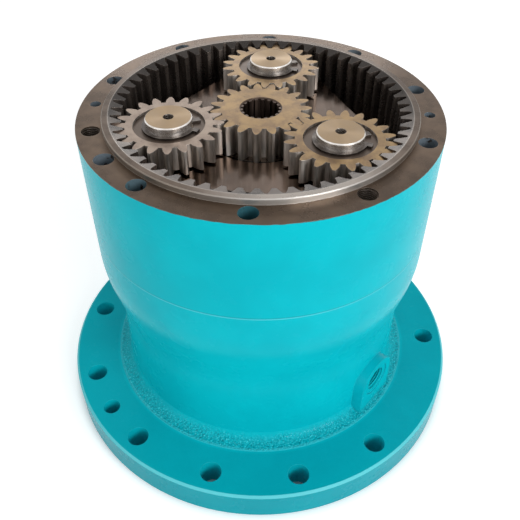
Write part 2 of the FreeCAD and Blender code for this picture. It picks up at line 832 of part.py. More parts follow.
def make_bearing(prefix, cup_radius, journal_radius, bottom, top, wide_end):
    """Cup, cone and rollers between two levels. wide_end is +1 where the race widens upwards."""
    taper = cell("bearing_taper")
    clearance = cell("roller_clearance")
    pitch_radius = (cup_radius + journal_radius) / 2
    roller_tip = math.degrees(
        math.atan(cell("roller_radius").number * sine(taper).number / pitch_radius.number)
    )
    middle = (bottom + top) / 2
    apex = middle - pitch_radius / tangent(taper) * wide_end

    def race_radius(level, angle):
        return (level - apex) * wide_end * math.tan(math.radians(angle))

    wide, narrow = (top, bottom) if wide_end > 0 else (bottom, top)
    outer_angle = taper.number + roller_tip
    inner_angle = taper.number - roller_tip
    cup = turned(f"{prefix}_bearing_cup", [
        (cup_radius, bottom),
        (cup_radius, top),
        (race_radius(top, outer_angle) + clearance, top),
        (race_radius(bottom, outer_angle) + clearance, bottom),
    ])
    rib_level = wide - cell("cone_rib_width") * wide_end
    rib_radius = race_radius(wide, inner_angle) + cell("cone_rib_height")
    cone = turned(f"{prefix}_bearing_cone", [
        (journal_radius, wide),
        (journal_radius, narrow),
        (race_radius(narrow, inner_angle) - clearance, narrow),
        (race_radius(rib_level, inner_angle) - clearance, rib_level),
        (rib_radius, rib_level),
        (rib_radius, wide),
    ])
    length = cell("roller_length")
    flare = length * cell("roller_radius") * sine(taper) / pitch_radius / 2
    roller = document.addObject("Part::Cone", f"{prefix}_roller")
    for size_name, size in (
        ("Radius1", cell("roller_radius") - flare),
        ("Radius2", cell("roller_radius") + flare),
        ("Height", length),
    ):
        setattr(roller, size_name, size.number)
        roller.setExpression(size_name, size.text)
    axis = Vector(math.sin(math.radians(taper.number)), 0, wide_end * math.cos(math.radians(taper.number)))
    centre = Vector(pitch_radius.number, 0, middle.number)
    roller.Placement = Placement(centre - axis * (length.number / 2), Rotation(UP, axis))
    rollers = document.addObject("Part::Compound", f"{prefix}_bearing_rollers")
    rollers.Label = f"{prefix}_bearing_rollers"
    count = round(cell("roller_count").number)
    rollers.Links = [
        placed(roller, f"{prefix}_roller_{index + 1}", ZERO, ZERO, FULL_TURN * index / count)
        for index in range(count)
    ]
    return [cup, cone, rollers]


def make_spacer():
    inner = cell("upper_journal_radius")
    profile = ring_profile(inner, inner + cell("spacer_wall"), lower_seat_top, upper_seat_bottom)
    return turned("bearing_spacer", profile)


def make_lock_nut():
    bottom = lower_seat_bottom - cell("lock_nut_height")
    profile = ring_profile(cell("lower_journal_radius"), cell("lock_nut_radius"), bottom, lower_seat_bottom)
    return turned("bearing_lock_nut", profile)


# Seal cover under the flange


def make_seal_cover():
    spigot_radius = cell("lower_cup_radius") - cell("cover_gap")
    spigot_bore = spigot_radius - cell("cover_spigot_wall")
    ring_size = cell("cover_o_ring_size")
    groove_floor = cell("lower_cup_radius") - ring_size
    groove_bottom = cover_top + ring_size
    cover = turned("seal_cover", [
        (cell("seal_radius"), cover_bottom),
        (cover_radius - cell("cover_gap"), cover_bottom),
        (cover_radius - cell("cover_gap"), cover_top),
        (spigot_radius, cover_top),
        (spigot_radius, groove_bottom),
        (groove_floor, groove_bottom),
        (groove_floor, groove_bottom + ring_size),
        (spigot_radius, groove_bottom + ring_size),
        (spigot_radius, lower_seat_bottom),
        (spigot_bore, lower_seat_bottom),
        (spigot_bore, cover_top),
        (cell("seal_radius"), cover_top),
    ])
    head_hole = cell("cover_screw_head_radius") + cell("cover_screw_head_clearance")
    head_depth = cell("cover_screw_head_height") + gap
    bore_holes(cover, cover_screw_places, head_hole, cover_bottom, head_depth)
    bore_holes(
        cover, cover_screw_places, cell("cover_screw_radius") + cell("cover_gap"), cover_bottom,
        cell("cover_thickness"),
    )
    o_ring = turned("cover_o_ring", ring_profile(
        groove_floor, cell("lower_cup_radius"), groove_bottom, groove_bottom + ring_size
    ))
    head_bottom = cover_bottom + gap
    head_top = head_bottom + cell("cover_screw_head_height")
    screw = turned("cover_screw", [
        (ZERO, head_top + cell("cover_screw_length")),
        (cell("cover_screw_radius"), head_top + cell("cover_screw_length")),
        (cell("cover_screw_radius"), head_top),
        (cell("cover_screw_head_radius"), head_top),
        (cell("cover_screw_head_radius"), head_bottom),
        (cell("cover_screw_socket_radius"), head_bottom),
        (cell("cover_screw_socket_radius"), head_bottom + cell("cover_screw_socket_depth")),
        (ZERO, head_bottom + cell("cover_screw_socket_depth")),
    ])
    screws = grouped(screw, "seal_cover_screws", cover_screw_places)
    seal_bottom = (cover_bottom + cover_top - cell("seal_height")) / 2
    seal = turned("shaft_seal", ring_profile(
        cell("hub_end_radius") + fit, cell("seal_radius"), seal_bottom, seal_bottom + cell("seal_height")
    ))
    return [cover, o_ring, screws, seal]


# Output hub: journals for both bearings, splined bore for the output shaft, carrier of the second planets


def make_output_hub():
    spline_root = cell("shaft_spline_radius") - cell("shaft_spline_depth")
    bore_top = cover_bottom + cell("shaft_bore_length")
    pilot_end = cover_bottom + cell("shaft_pilot_length")
    nut_bottom = lower_seat_bottom - cell("lock_nut_height")
    blank = turned("output_hub_blank", [
        (cell("shaft_pilot_radius"), cover_bottom),
        (cell("hub_end_radius"), cover_bottom),
        (cell("hub_end_radius"), nut_bottom),
        (cell("lower_journal_radius"), nut_bottom),
        (cell("lower_journal_radius"), lower_seat_top),
        (cell("upper_journal_radius"), lower_seat_top),
        (cell("upper_journal_radius"), upper_seat_top),
        (cell("hub_boss_radius"), upper_seat_top),
        (cell("hub_boss_radius"), second_carrier_bottom),
        (second_carrier_radius, second_carrier_bottom),
        (second_carrier_radius, second_carrier_top),
        (ZERO, second_carrier_top),
        (ZERO, bore_top),
        (spline_root, bore_top),
        (spline_root, pilot_end),
        (cell("shaft_pilot_radius"), pilot_end),
    ])
    bore_holes(
        blank, second_stage.places, cell("second_pin_radius"), second_carrier_bottom,
        cell("second_carrier_thickness"),
    )
    grooves = code_shape("shaft_spline_outline", spline_face(
        round(cell("shaft_spline_teeth").number),
        spline_root.number - OVERCUT,
        cell("shaft_spline_radius").number,
    ))
    cutter = extruded("shaft_spline", grooves, pilot_end - OVERCUT, bore_top - pilot_end)
    return cut("output_hub", blank, cutter)


# Pieces that each stage has: pins, bushes, washers and clips, all carried by its carrier


def make_clip(label, pin_radius, bottom):
    """An external circlip with two lugs, its gap towards +X."""
    inner = pin_radius.number - cell("circlip_groove_depth").number + fit.number
    outer = inner + cell("circlip_width").number
    lug = outer + cell("circlip_lug_rise").number
    opening = math.radians(cell("circlip_gap_angle").number)
    lug_end = opening + math.radians(cell("circlip_lug_angle").number)
    half_turn = math.pi
    edges = [
        Part.Arc(polar(inner, opening), polar(inner, half_turn), polar(inner, -opening)).toShape(),
        Part.makeLine(polar(inner, -opening), polar(lug, -opening)),
        Part.makeLine(polar(lug, -opening), polar(lug, -lug_end)),
        Part.makeLine(polar(lug, -lug_end), polar(outer, -lug_end)),
        Part.Arc(polar(outer, -lug_end), polar(outer, half_turn), polar(outer, lug_end)).toShape(),
        Part.makeLine(polar(outer, lug_end), polar(lug, lug_end)),
        Part.makeLine(polar(lug, lug_end), polar(lug, opening)),
        Part.makeLine(polar(lug, opening), polar(inner, opening)),
    ]
    outline = code_shape(f"{label}_outline", Part.Face(Part.Wire(edges)))
    return extruded(label, outline, bottom, cell("circlip_thickness"))


def make_carried_pieces(prefix, stage, pin_radius, bush_wall, levels, washer_radius, thread):
    """Pins, bushes, thrust washers, retaining washers and clips of one stage, three of each."""
    pin_bottom, carrier_top, gear_bottom, bush_top, washer_bottom, clip_bottom, clip_top, pin_top = levels
    groove = pin_radius - cell("circlip_groove_depth")
    chamfer = cell("pin_chamfer")
    outline = [
        (ZERO, pin_bottom),
        (pin_radius, pin_bottom),
        (pin_radius, clip_bottom),
        (groove, clip_bottom),
        (groove, clip_top),
        (pin_radius, clip_top),
        (pin_radius, pin_top - chamfer),
        (pin_radius - chamfer, pin_top),
    ]
    if thread:
        outline += [
            (cell("pin_thread_radius"), pin_top),
            (cell("pin_thread_radius"), pin_top - cell("pin_thread_depth")),
            (ZERO, pin_top - cell("pin_thread_depth") - cell("pin_thread_radius") / 2),
        ]
    else:
        outline += [(ZERO, pin_top)]
    bore = pin_radius + bush_wall
    pieces = {
        "planet_pins": turned(f"{prefix}_pin", outline),
        "planet_bushes": turned(f"{prefix}_bush", ring_profile(
            pin_radius + fit, bore - fit, gear_bottom, bush_top
        )),
        "thrust_washers": turned(f"{prefix}_thrust_washer", ring_profile(
            pin_radius + fit, washer_radius, carrier_top, carrier_top + cell("thrust_washer_thickness")
        )),
        "retaining_washers": turned(f"{prefix}_retaining_washer", ring_profile(
            pin_radius + fit, washer_radius, washer_bottom, clip_bottom
        )),
        "circlips": make_clip(f"{prefix}_circlip", pin_radius, clip_bottom),
    }
    return [grouped(piece, f"{prefix}_{name}", stage.places) for name, piece in pieces.items()]


def make_planets(prefix, stage, master):
    return [
        placed(master, f"{prefix}_planet_gear_{index}", x, y, stage.planet_turn(angle))
        for index, ((x, y), angle) in enumerate(zip(stage.places, stage.angles), start=1)
    ]


def toothed_blank(label, outline, blank, bottom, height):
    teeth = extruded(f"{label}_teeth", code_shape(f"{label}_outline", outline.face()), bottom, height)
    return common(label, teeth, blank)


def make_second_stage():
    washer_radius = second_gear_bore + cell("second_washer_land")
    levels = (
        second_carrier_bottom, second_carrier_top, second_planet_bottom, second_planet_top,
        second_washer_bottom, second_clip_bottom, second_clip_top, second_pin_top,
    )
    pieces = make_carried_pieces(
        "second_stage", second_stage, cell("second_pin_radius"), cell("second_bush_wall"),
        levels, washer_radius, False,
    )
    tip = as_size(second_stage.planet.tip_radius)
    blank = turned("second_planet_blank", ring_profile(
        second_gear_bore, tip + OVERCUT, second_planet_bottom, second_planet_top
    ))
    master = toothed_blank(
        "second_planet", second_stage.planet, blank, second_planet_bottom, cell("second_planet_width")
    )
    washer = turned("second_sun_thrust_washer", ring_profile(
        cell("second_sun_thrust_bore"), cell("second_sun_thrust_radius"),
        second_carrier_top, second_carrier_top + cell("thrust_washer_thickness"),
    ))
    return pieces + [washer] + make_planets("second_stage", second_stage, master)


def make_second_sun():
    """The second sun: its collar carries the first carrier and its splined head turns with it."""
    collar_bottom = first_carrier_bottom - cell("second_sun_collar_height")
    outline = code_shape("second_sun_outline", second_stage.sun.face())
    outline.Placement = Placement(Vector(0, 0, 0), Rotation(UP, second_stage.sun_turn()))
    teeth = extruded(
        "second_sun_teeth", outline, second_planet_bottom, collar_bottom - second_planet_bottom
    )
    collar = turned("second_sun_collar", [
        (ZERO, collar_bottom),
        (cell("second_sun_collar_radius"), collar_bottom),
        (cell("second_sun_collar_radius"), first_carrier_bottom),
        (ZERO, first_carrier_bottom),
    ])
    spline_radius = cell("carrier_spline_radius") - cell("spline_clearance")
    head_outline = code_shape("second_sun_head_outline", spline_face(
        round(cell("carrier_spline_teeth").number),
        (spline_radius - cell("carrier_spline_depth")).number,
        spline_radius.number,
    ))
    head = extruded("second_sun_head", head_outline, first_carrier_bottom, spline_top - first_carrier_bottom)
    sun = document.addObject("Part::MultiFuse", "second_sun_gear")
    sun.Label = "second_sun_gear"
    sun.Shapes = [teeth, collar, head]
    return sun


def flat_sided_face(distance, normals):
    """A triangle whose sides lie at a distance from the axis, square to three directions."""
    corners = []
    for index, normal in enumerate(normals):
        following = normals[(index + 1) % len(normals)]
        bisector = math.radians((normal + following) / 2 + (180 if following < normal else 0))
        half = math.radians(((following - normal) % FULL_TURN) / 2)
        corners.append(polar(distance / math.cos(half), bisector))
    return Part.Face(Part.makePolygon(corners + corners[:1]))


def make_first_carrier():
    inner = cell("carrier_spline_radius") - cell("carrier_spline_depth")
    plate = turned("first_carrier_plate", [
        (inner, first_carrier_bottom),
        (first_carrier_radius, first_carrier_bottom),
        (first_carrier_radius, first_carrier_top),
        (cell("carrier_counterbore_radius"), first_carrier_top),
        (cell("carrier_counterbore_radius"), spline_top),
        (inner, spline_top),
    ])
    thickness = cell("first_carrier_thickness")
    bore_holes(plate, first_stage.places, cell("first_pin_radius"), first_carrier_bottom, thickness)
    grooves = code_shape("first_carrier_spline_outline", spline_face(
        round(cell("carrier_spline_teeth").number), inner.number, cell("carrier_spline_radius").number
    ))
    cutter = extruded("first_carrier_spline", grooves, first_carrier_bottom, thickness)
    splined = cut("first_carrier_splined", plate, cutter)
    angles = [angle.number for angle in first_stage.angles]
    normals = [(angles[index] + angles[(index + 1) % 3] + FULL_TURN * (index == 2)) / 2 for index in range(3)]
    normals = sorted(normal % FULL_TURN for normal in normals)
    flat_distance = first_stage.centre_distance + cell("first_carrier_flat_wall")
    outline = code_shape("first_carrier_outline", flat_sided_face(flat_distance.number, normals))
    sides = extruded("first_carrier_sides", outline, first_carrier_bottom, thickness)
    return common("first_carrier", splined, sides)


def make_first_stage():
    levels = (
        first_carrier_bottom, first_carrier_top, first_planet_bottom, first_recess_floor,
        first_washer_bottom, first_clip_bottom, first_clip_top, first_pin_top,
    )
    washer_radius = cell("planet_recess_radius") - cell("washer_clearance")
    pieces = make_carried_pieces(
        "first_stage", first_stage, cell("first_pin_radius"), cell("first_bush_wall"),
        levels, washer_radius, True,
    )
    tip = as_size(first_stage.planet.tip_radius)
    blank = turned("first_planet_blank", [
        (first_gear_bore, first_planet_bottom),
        (tip + OVERCUT, first_planet_bottom),
        (tip + OVERCUT, first_planet_top),
        (cell("planet_recess_radius"), first_planet_top),
        (cell("planet_recess_radius"), first_recess_floor),
        (first_gear_bore, first_recess_floor),
    ])
    master = toothed_blank(
        "first_planet", first_stage.planet, blank, first_planet_bottom, cell("first_planet_width")
    )
    return pieces + make_planets("first_stage", first_stage, master)


def make_first_sun():
    tip = as_size(first_stage.sun.tip_radius)
    bore = cell("first_sun_bore_radius") - cell("first_sun_spline_depth")
    chamfer = cell("first_sun_bore_chamfer")
    mouth = cell("first_sun_bore_radius") + chamfer
    blank = turned("first_sun_blank", [
        (bore, first_sun_bottom),
        (tip + OVERCUT, first_sun_bottom),
        (tip + OVERCUT, first_sun_top),
        (mouth, first_sun_top),
        (mouth - chamfer, first_sun_top - chamfer),
        (bore, first_sun_top - chamfer),
    ])
    height = first_sun_top - first_sun_bottom
    toothed = toothed_blank("first_sun_toothed", first_stage.sun, blank, first_sun_bottom, height)
    grooves = code_shape("first_sun_spline_outline", spline_face(
        round(cell("first_sun_spline_teeth").number),
        bore.number - OVERCUT,
        cell("first_sun_bore_radius").number,
    ))
    cutter = extruded("first_sun_spline", grooves, first_sun_bottom, height)
    splined = cut("first_sun_splined", toothed, cutter)
    return placed(splined, "first_sun_gear", ZERO, ZERO, first_stage.sun_turn())


def make_sun_thrust_ring():
    return turned("sun_thrust_ring", ring_profile(
        cell("first_sun_bore_radius"),
        cell("carrier_spline_radius") - cell("thrust_ring_inset"),
        spline_top,
        first_sun_bottom - gap,
    ))


nodes = [make_casing(), make_ring_gear(), make_dowels(), make_spacer(), make_lock_nut()]
nodes += make_bearing(
    "upper", cell("upper_cup_radius"), cell("upper_journal_radius"), upper_seat_bottom, upper_seat_top, +1
)
nodes += make_bearing(
    "lower", cell("lower_cup_radius"), cell("lower_journal_radius"), lower_seat_bottom, lower_seat_top, -1
)
nodes += make_seal_cover()
nodes += [make_output_hub()]
nodes += make_second_stage()
nodes += [make_second_sun(), make_first_carrier(), make_sun_thrust_ring()]
nodes += make_first_stage()
nodes += [make_first_sun()]
document.recompute()

for item in document.Objects:
    if "Invalid" in item.State or "Error" in item.State:
        raise RuntimeError(f"{item.Label} did not recompute: {item.State}")

os.makedirs(PARTS_FOLDER, exist_ok=True)
for node in nodes:
    if node.Shape.isNull() or not node.Shape.isValid():
        raise RuntimeError(f"{node.Label} has no sound shape")
    node.Shape.exportStep(f"{PARTS_FOLDER}/{node.Label}.step")
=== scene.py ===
import json
import math

import bmesh
import bpy
from mathutils import Matrix, Vector


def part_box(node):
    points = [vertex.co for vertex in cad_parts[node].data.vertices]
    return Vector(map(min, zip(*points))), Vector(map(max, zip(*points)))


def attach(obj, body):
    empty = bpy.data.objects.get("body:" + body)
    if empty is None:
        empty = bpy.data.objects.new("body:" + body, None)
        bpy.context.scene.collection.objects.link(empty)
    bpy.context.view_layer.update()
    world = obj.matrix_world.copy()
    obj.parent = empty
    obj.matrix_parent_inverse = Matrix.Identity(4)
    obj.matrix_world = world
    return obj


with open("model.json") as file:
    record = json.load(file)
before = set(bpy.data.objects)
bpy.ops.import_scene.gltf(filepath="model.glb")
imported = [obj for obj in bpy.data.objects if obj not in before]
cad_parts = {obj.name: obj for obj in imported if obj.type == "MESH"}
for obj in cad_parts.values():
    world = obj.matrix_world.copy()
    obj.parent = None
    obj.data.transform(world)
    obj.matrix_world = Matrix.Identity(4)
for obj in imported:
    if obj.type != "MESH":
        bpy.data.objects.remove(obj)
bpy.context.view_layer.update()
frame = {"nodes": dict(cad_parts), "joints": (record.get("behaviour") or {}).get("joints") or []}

# Looks of the gear reducer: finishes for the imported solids, threads in their bores, floor, camera and light.
# Everything is in metres in the part's own frame. Each node's object sits at the origin, so a shader's
# object coordinates are the part's own coordinates, and they turn with the body that carries the node.

MM = 0.001
NODES = frame["nodes"]
MAIN_AXIS = Vector((0, 0, 0))
DOWN = Vector((0, 0, -1))


# Sizes and places: read from the imported solids where their boxes give them, else as in part.py. Where the
# paint is rough, where a highlight is painted on the rim and where a hole is bare is set here, for these are
# looks and no shapes.


def top(node):
    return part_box(node)[1].z


def bottom(node):
    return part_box(node)[0].z


# Ring gear: its machined top lies a rim's height below the raised rim, whose flat runs from the bevel of the
# teeth out to RIM_RADIUS. Two of its holes are threaded and bare, and a highlight is painted on its rim at one
# place.
RING_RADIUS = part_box("ring_gear")[1].x
RIM_HEIGHT = 5.8 * MM
RING_TOP = top("ring_gear") - RIM_HEIGHT
SEAM = bottom("ring_gear")
RIM_RADIUS = 150.9 * MM
BEVEL_RADIUS = 144.6 * MM
BOLT_CIRCLE = 161 * MM
BARE_HOLE_ANGLES = (194.6, 302.6)
BARE_HOLE_REACH = 12 * MM
RIM_HIGHLIGHT_PLACE = Vector((38 * MM, -143 * MM, 0))

# Casing: the neck's foot meets the flange at FOOT_RADIUS, and its skin is rough below ROUGH_SKIN_TOP
FLANGE_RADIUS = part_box("casing")[1].x
FLANGE_TOP = 36 * MM
FOOT_RADIUS = 177 * MM
ROUGH_SKIN_TOP = 55 * MM
PORT_ANGLE = math.radians(-39.8)
PORT_AXIS = Vector((math.cos(PORT_ANGLE), math.sin(PORT_ANGLE), 0))
PORT_MOUTH = PORT_AXIS * 168.8 * MM + Vector((0, 0, 75 * MM))

# Gears and carrier: what lies nearer to the axis than a bore's reach gets the bore's painted shade
PIN_TOP = top("first_stage_planet_pins")
GEAR_BORE_REACH = 27 * MM
SUN_BORE_MOUTH = 20.6 * MM
CARRIER_BORE_REACH = 53 * MM


def joint_place(name):
    """The upright axis that a joint turns about, as a point at height 0."""
    joint = next(joint for joint in frame["joints"] if joint["name"] == name)
    return Vector((joint["pos_m"][0], joint["pos_m"][1], 0))


FIRST_CENTRES = [joint_place(f"first_planet_{index}_spin") for index in (1, 2, 3)]
SECOND_CENTRES = [joint_place(f"second_planet_{index}_spin") for index in (1, 2, 3)]


def on_bolt_circle(degrees, height=0.0):
    """A point on the ring gear's bolt circle."""
    angle = math.radians(degrees)
    return Vector((math.cos(angle), math.sin(angle), 0)) * BOLT_CIRCLE + Vector((0, 0, height))


# Colours, as linear light

TURQUOISE = (0.0015, 0.535, 0.622)
TURQUOISE_DEEP = (0.0012, 0.485, 0.572)
TURQUOISE_WEAR_AND_HIGHLIGHT = (0.06, 0.66, 0.74)
TURQUOISE_HIGHLIGHT = (0.22, 0.78, 0.84)
TEAL_SHADE = (0.003, 0.20, 0.26)
GLINT = (0.10, 0.82, 0.88)
HOLE_TEAL = (0.04, 0.20, 0.25)
HOLE_LIT_GREY = (0.20, 0.26, 0.31)

RING_TOP_BROWN = (0.130, 0.085, 0.054)
RING_TOP_DARK = (0.074, 0.047, 0.030)
RIM_BROWN = (0.125, 0.094, 0.073)
RIM_DARK = (0.082, 0.061, 0.047)
RIM_WALL_DULL = (0.30, 0.26, 0.22)
RIM_WALL_HIGHLIGHT = (0.80, 0.77, 0.73)
TOOTH_TOP_BROWN = (0.10, 0.085, 0.075)
TOOTH_TOP_DARK = (0.042, 0.037, 0.034)
TOOTH_TOP_FAR_SHADE = (0.024, 0.019, 0.016)
RING_FLANK_BROWN = (0.20, 0.165, 0.142)
RING_FLANK_DARK = (0.085, 0.070, 0.062)

TAN_STEEL = (0.285, 0.187, 0.085)
TAN_STEEL_DARK = (0.165, 0.104, 0.055)
GREY_TAN = (0.29, 0.228, 0.182)
GREY_TAN_DARK = (0.20, 0.15, 0.12)
FLANK_STEEL = (0.60, 0.55, 0.50)
FLANK_STEEL_DARK = (0.26, 0.23, 0.205)
PIN_TAN = (0.315, 0.228, 0.142)
POLISHED_STEEL = (0.86, 0.83, 0.80)
PALE_STEEL = (0.50, 0.46, 0.42)
GREY_STEEL = (0.30, 0.275, 0.25)
BROWN_STEEL = (0.145, 0.108, 0.086)
BROWN_STEEL_DARK = (0.085, 0.06, 0.047)
OILY_BROWN = (0.046, 0.034, 0.026)
CARRIER_BROWN = (0.185, 0.138, 0.112)
CARRIER_DARK = (0.115, 0.086, 0.070)
WASHER_BROWN = (0.075, 0.053, 0.040)
THRUST_WASHER_BROWN = (0.20, 0.17, 0.145)
SPRING_STEEL = (0.06, 0.05, 0.045)
SPRING_STEEL_LIGHT = (0.16, 0.14, 0.125)
THREAD_BROWN = (0.03, 0.022, 0.017)
THREAD_BROWN_LIGHT = (0.075, 0.058, 0.046)

NUT_BLACK = (0.018, 0.018, 0.02)
NUT_BLACK_LIGHT = (0.06, 0.06, 0.065)
SCREW_BLACK = (0.015, 0.015, 0.017)
SCREW_BLACK_LIGHT = (0.05, 0.05, 0.055)
COVER_STEEL = (0.33, 0.33, 0.33)
COVER_STEEL_DARK = (0.16, 0.15, 0.14)
HUB_STEEL = (0.34, 0.33, 0.32)
HUB_STEEL_DARK = (0.17, 0.16, 0.15)
BRONZE = (0.52, 0.31, 0.12)
BRONZE_TARNISHED = (0.20, 0.10, 0.035)
RUBBER_BLACK = (0.012, 0.012, 0.013)
RUBBER_DUSTY = (0.035, 0.034, 0.033)

FLOOR_GREY = (0.93, 0.93, 0.93)
FLOOR_WHITE = (0.96, 0.96, 0.96)


# Shader building


def rgba(colour):
    return (*colour, 1.0) if isinstance(colour, tuple) and len(colour) == 3 else colour


class Shader:
    """A Principled material, built from nodes by the small steps below.

    A mask is a value from 0 to 1 that says where something applies.
    """

    def __init__(self, name):
        self.material = bpy.data.materials.new(name)
        self.material.use_nodes = True
        self.tree = self.material.node_tree
        self.surface = self.tree.nodes["Principled BSDF"]
        self.place = self.add("ShaderNodeTexCoord").outputs["Object"]
        split = self.add("ShaderNodeSeparateXYZ")
        self.link(self.place, split.inputs[0])
        _, self.y, self.z = split.outputs
        facing = self.add("ShaderNodeSeparateXYZ")
        self.link(self.add("ShaderNodeTexCoord").outputs["Normal"], facing.inputs[0])
        self.normal_z = facing.outputs[2]
        self.radius = self.distance(MAIN_AXIS)

    def add(self, kind, **settings):
        node = self.tree.nodes.new(kind)
        for key, value in settings.items():
            setattr(node, key, value)
        return node

    def link(self, source, socket):
        self.tree.links.new(source, socket)

    def feed(self, socket, value):
        """Links a socket to a node's output, or sets it to a number, vector or colour."""
        if isinstance(value, bpy.types.NodeSocket):
            self.link(value, socket)
        else:
            socket.default_value = value

    def math(self, operation, first, second=0.0):
        node = self.add("ShaderNodeMath", operation=operation)
        self.feed(node.inputs[0], first)
        self.feed(node.inputs[1], second)
        return node.outputs[0]

    def vector(self, operation, first, second=(0, 0, 0)):
        node = self.add("ShaderNodeVectorMath", operation=operation)
        self.feed(node.inputs[0], first)
        self.feed(node.inputs[1], second)
        return node.outputs["Value"] if operation in ("LENGTH", "DOT_PRODUCT") else node.outputs["Vector"]

    # Masks

    def ramp(self, value, low, high):
        """A smooth step from 0 at low to 1 at high; low may be above high."""
        node = self.add("ShaderNodeMapRange", interpolation_type="SMOOTHSTEP")
        self.feed(node.inputs["Value"], value)
        node.inputs["From Min"].default_value = low
        node.inputs["From Max"].default_value = high
        return node.outputs["Result"]

    def spread(self, value, low, high):
        """Maps 0..1 to low..high."""
        node = self.add("ShaderNodeMapRange")
        self.feed(node.inputs["Value"], value)
        node.inputs["To Min"].default_value = low
        node.inputs["To Max"].default_value = high
        return node.outputs["Result"]

    def between(self, value, low, high, soft):
        """1 between two limits and 0 outside them."""
        return self.every(self.ramp(value, low - soft, low), self.ramp(value, high + soft, high))

    def every(self, *masks):
        """1 where all of the masks are."""
        return self.fold("MULTIPLY", masks)

    def some(self, *masks):
        """1 where at least one of the masks is."""
        return self.fold("MAXIMUM", masks)

    def fold(self, operation, masks):
        result = masks[0]
        for mask in masks[1:]:
            result = self.math(operation, result, mask)
        return result

    def invert(self, mask):
        return self.math("SUBTRACT", 1.0, mask)

    def share(self, mask, amount):
        """A mask that reaches only to an amount below 1."""
        return self.math("MULTIPLY", mask, amount)

    # Mixing by a mask: first where it is 0, second where it is 1

    def choose(self, kind, mask, first, second):
        node = self.add("ShaderNodeMix", data_type=kind)
        self.feed(node.inputs["Factor"], mask)
        self.feed(node.inputs["A"], first)
        self.feed(node.inputs["B"], second)
        return node.outputs["Result"]

    def mix(self, mask, first, second):
        """Mixes two colours."""
        return self.choose("RGBA", mask, rgba(first), rgba(second))

    def blend(self, mask, first, second):
        """Mixes two plain numbers."""
        return self.choose("FLOAT", mask, first, second)

    def tint(self, colour, mask, amount, other):
        """Turns a colour towards another one, by an amount where the mask is 1."""
        return self.mix(self.share(mask, amount), colour, other)

    # Patterns

    def noise(self, size, detail=3.0, roughness=0.55, stretch=(1, 1, 1)):
        """Noise with blotches of about a size in metres."""
        scaled = self.vector("MULTIPLY", self.place, stretch)
        node = self.add("ShaderNodeTexNoise")
        self.link(scaled, node.inputs["Vector"])
        node.inputs["Scale"].default_value = 1 / size
        node.inputs["Detail"].default_value = detail
        node.inputs["Roughness"].default_value = roughness
        return node.outputs[0]

    def grains(self, size):
        """Round grains of about a size in metres, 0 in the middle of each."""
        node = self.add("ShaderNodeTexVoronoi")
        self.link(self.place, node.inputs["Vector"])
        node.inputs["Scale"].default_value = 1 / size
        return node.outputs["Distance"]

    def turning_marks(self, local, pitch, wobble=0.15):
        """Fine rings round the local axis, left by a lathe."""
        uneven = self.math("MULTIPLY", self.noise(6 * MM, 2), pitch * wobble)
        wave = self.math("MULTIPLY", self.math("ADD", self.reach(local), uneven), 2 * math.pi / pitch)
        return self.spread(self.math("ADD", self.math("SINE", wave), 1.0), 0.0, 0.5)

    # Places

    def distance(self, centre):
        """The distance from an upright axis."""
        flat = self.vector("MULTIPLY", self.place, (1, 1, 0))
        return self.vector("LENGTH", self.vector("SUBTRACT", flat, (centre.x, centre.y, 0)))

    def local(self, centres, reach):
        """The place counted from the upright axis that lies within reach, for pieces in groups."""
        place = self.place
        for centre in centres:
            near = self.ramp(self.distance(centre), reach + MM, reach)
            step = self.add("ShaderNodeCombineXYZ")
            self.feed(step.inputs[0], self.math("MULTIPLY", near, centre.x))
            self.feed(step.inputs[1], self.math("MULTIPLY", near, centre.y))
            place = self.vector("SUBTRACT", place, step.outputs[0])
        return place

    def reach(self, local):
        """The distance from the local axis."""
        return self.vector("LENGTH", self.vector("MULTIPLY", local, (1, 1, 0)))

    # Relief and sheen

    def grooves(self, flat, local):
        """The way a highlight stretches: outwards on turned faces, upright on walls and flanks."""
        outwards = self.vector("NORMALIZE", self.vector("MULTIPLY", local, (1, 1, 0)))
        return self.choose("VECTOR", self.math("GREATER_THAN", flat, 0.5), (0, 0, 1), outwards)

    def bump(self, height, distance, strength=1.0, onto=None):
        node = self.add("ShaderNodeBump")
        self.feed(node.inputs["Height"], height)
        node.inputs["Distance"].default_value = distance
        self.feed(node.inputs["Strength"], strength)
        if onto is not None:
            self.link(onto, node.inputs["Normal"])
        return node.outputs[0]

    def rounded(self, radius):
        """Softens sharp edges by a radius, so that they catch the light."""
        node = self.add("ShaderNodeBevel", samples=4)
        node.inputs["Radius"].default_value = radius
        return node.outputs[0]

    def edges(self, radius):
        """1 along sharp edges, from how far the rounded normal leans away from the flat one."""
        straight = self.add("ShaderNodeNewGeometry").outputs["Normal"]
        lean = self.vector("DOT_PRODUCT", straight, self.rounded(radius))
        return self.ramp(lean, 0.995, 0.86)

    def finish(self, **settings):
        """Sets the Principled sockets, with names such as base_color or coat_weight."""
        for key, value in settings.items():
            name = " ".join(word.capitalize() for word in key.split("_")).replace("Ior", "IOR")
            self.feed(self.surface.inputs[name], rgba(value) if "color" in key else value)
        return self.material


# Paint


def enamel(s):
    """The enamel's colour and its roughness, both slightly uneven."""
    colour = s.mix(s.ramp(s.noise(70 * MM, 3), 0.35, 0.7), TURQUOISE, TURQUOISE_DEEP)
    return colour, s.spread(s.noise(24 * MM), 0.24, 0.30)


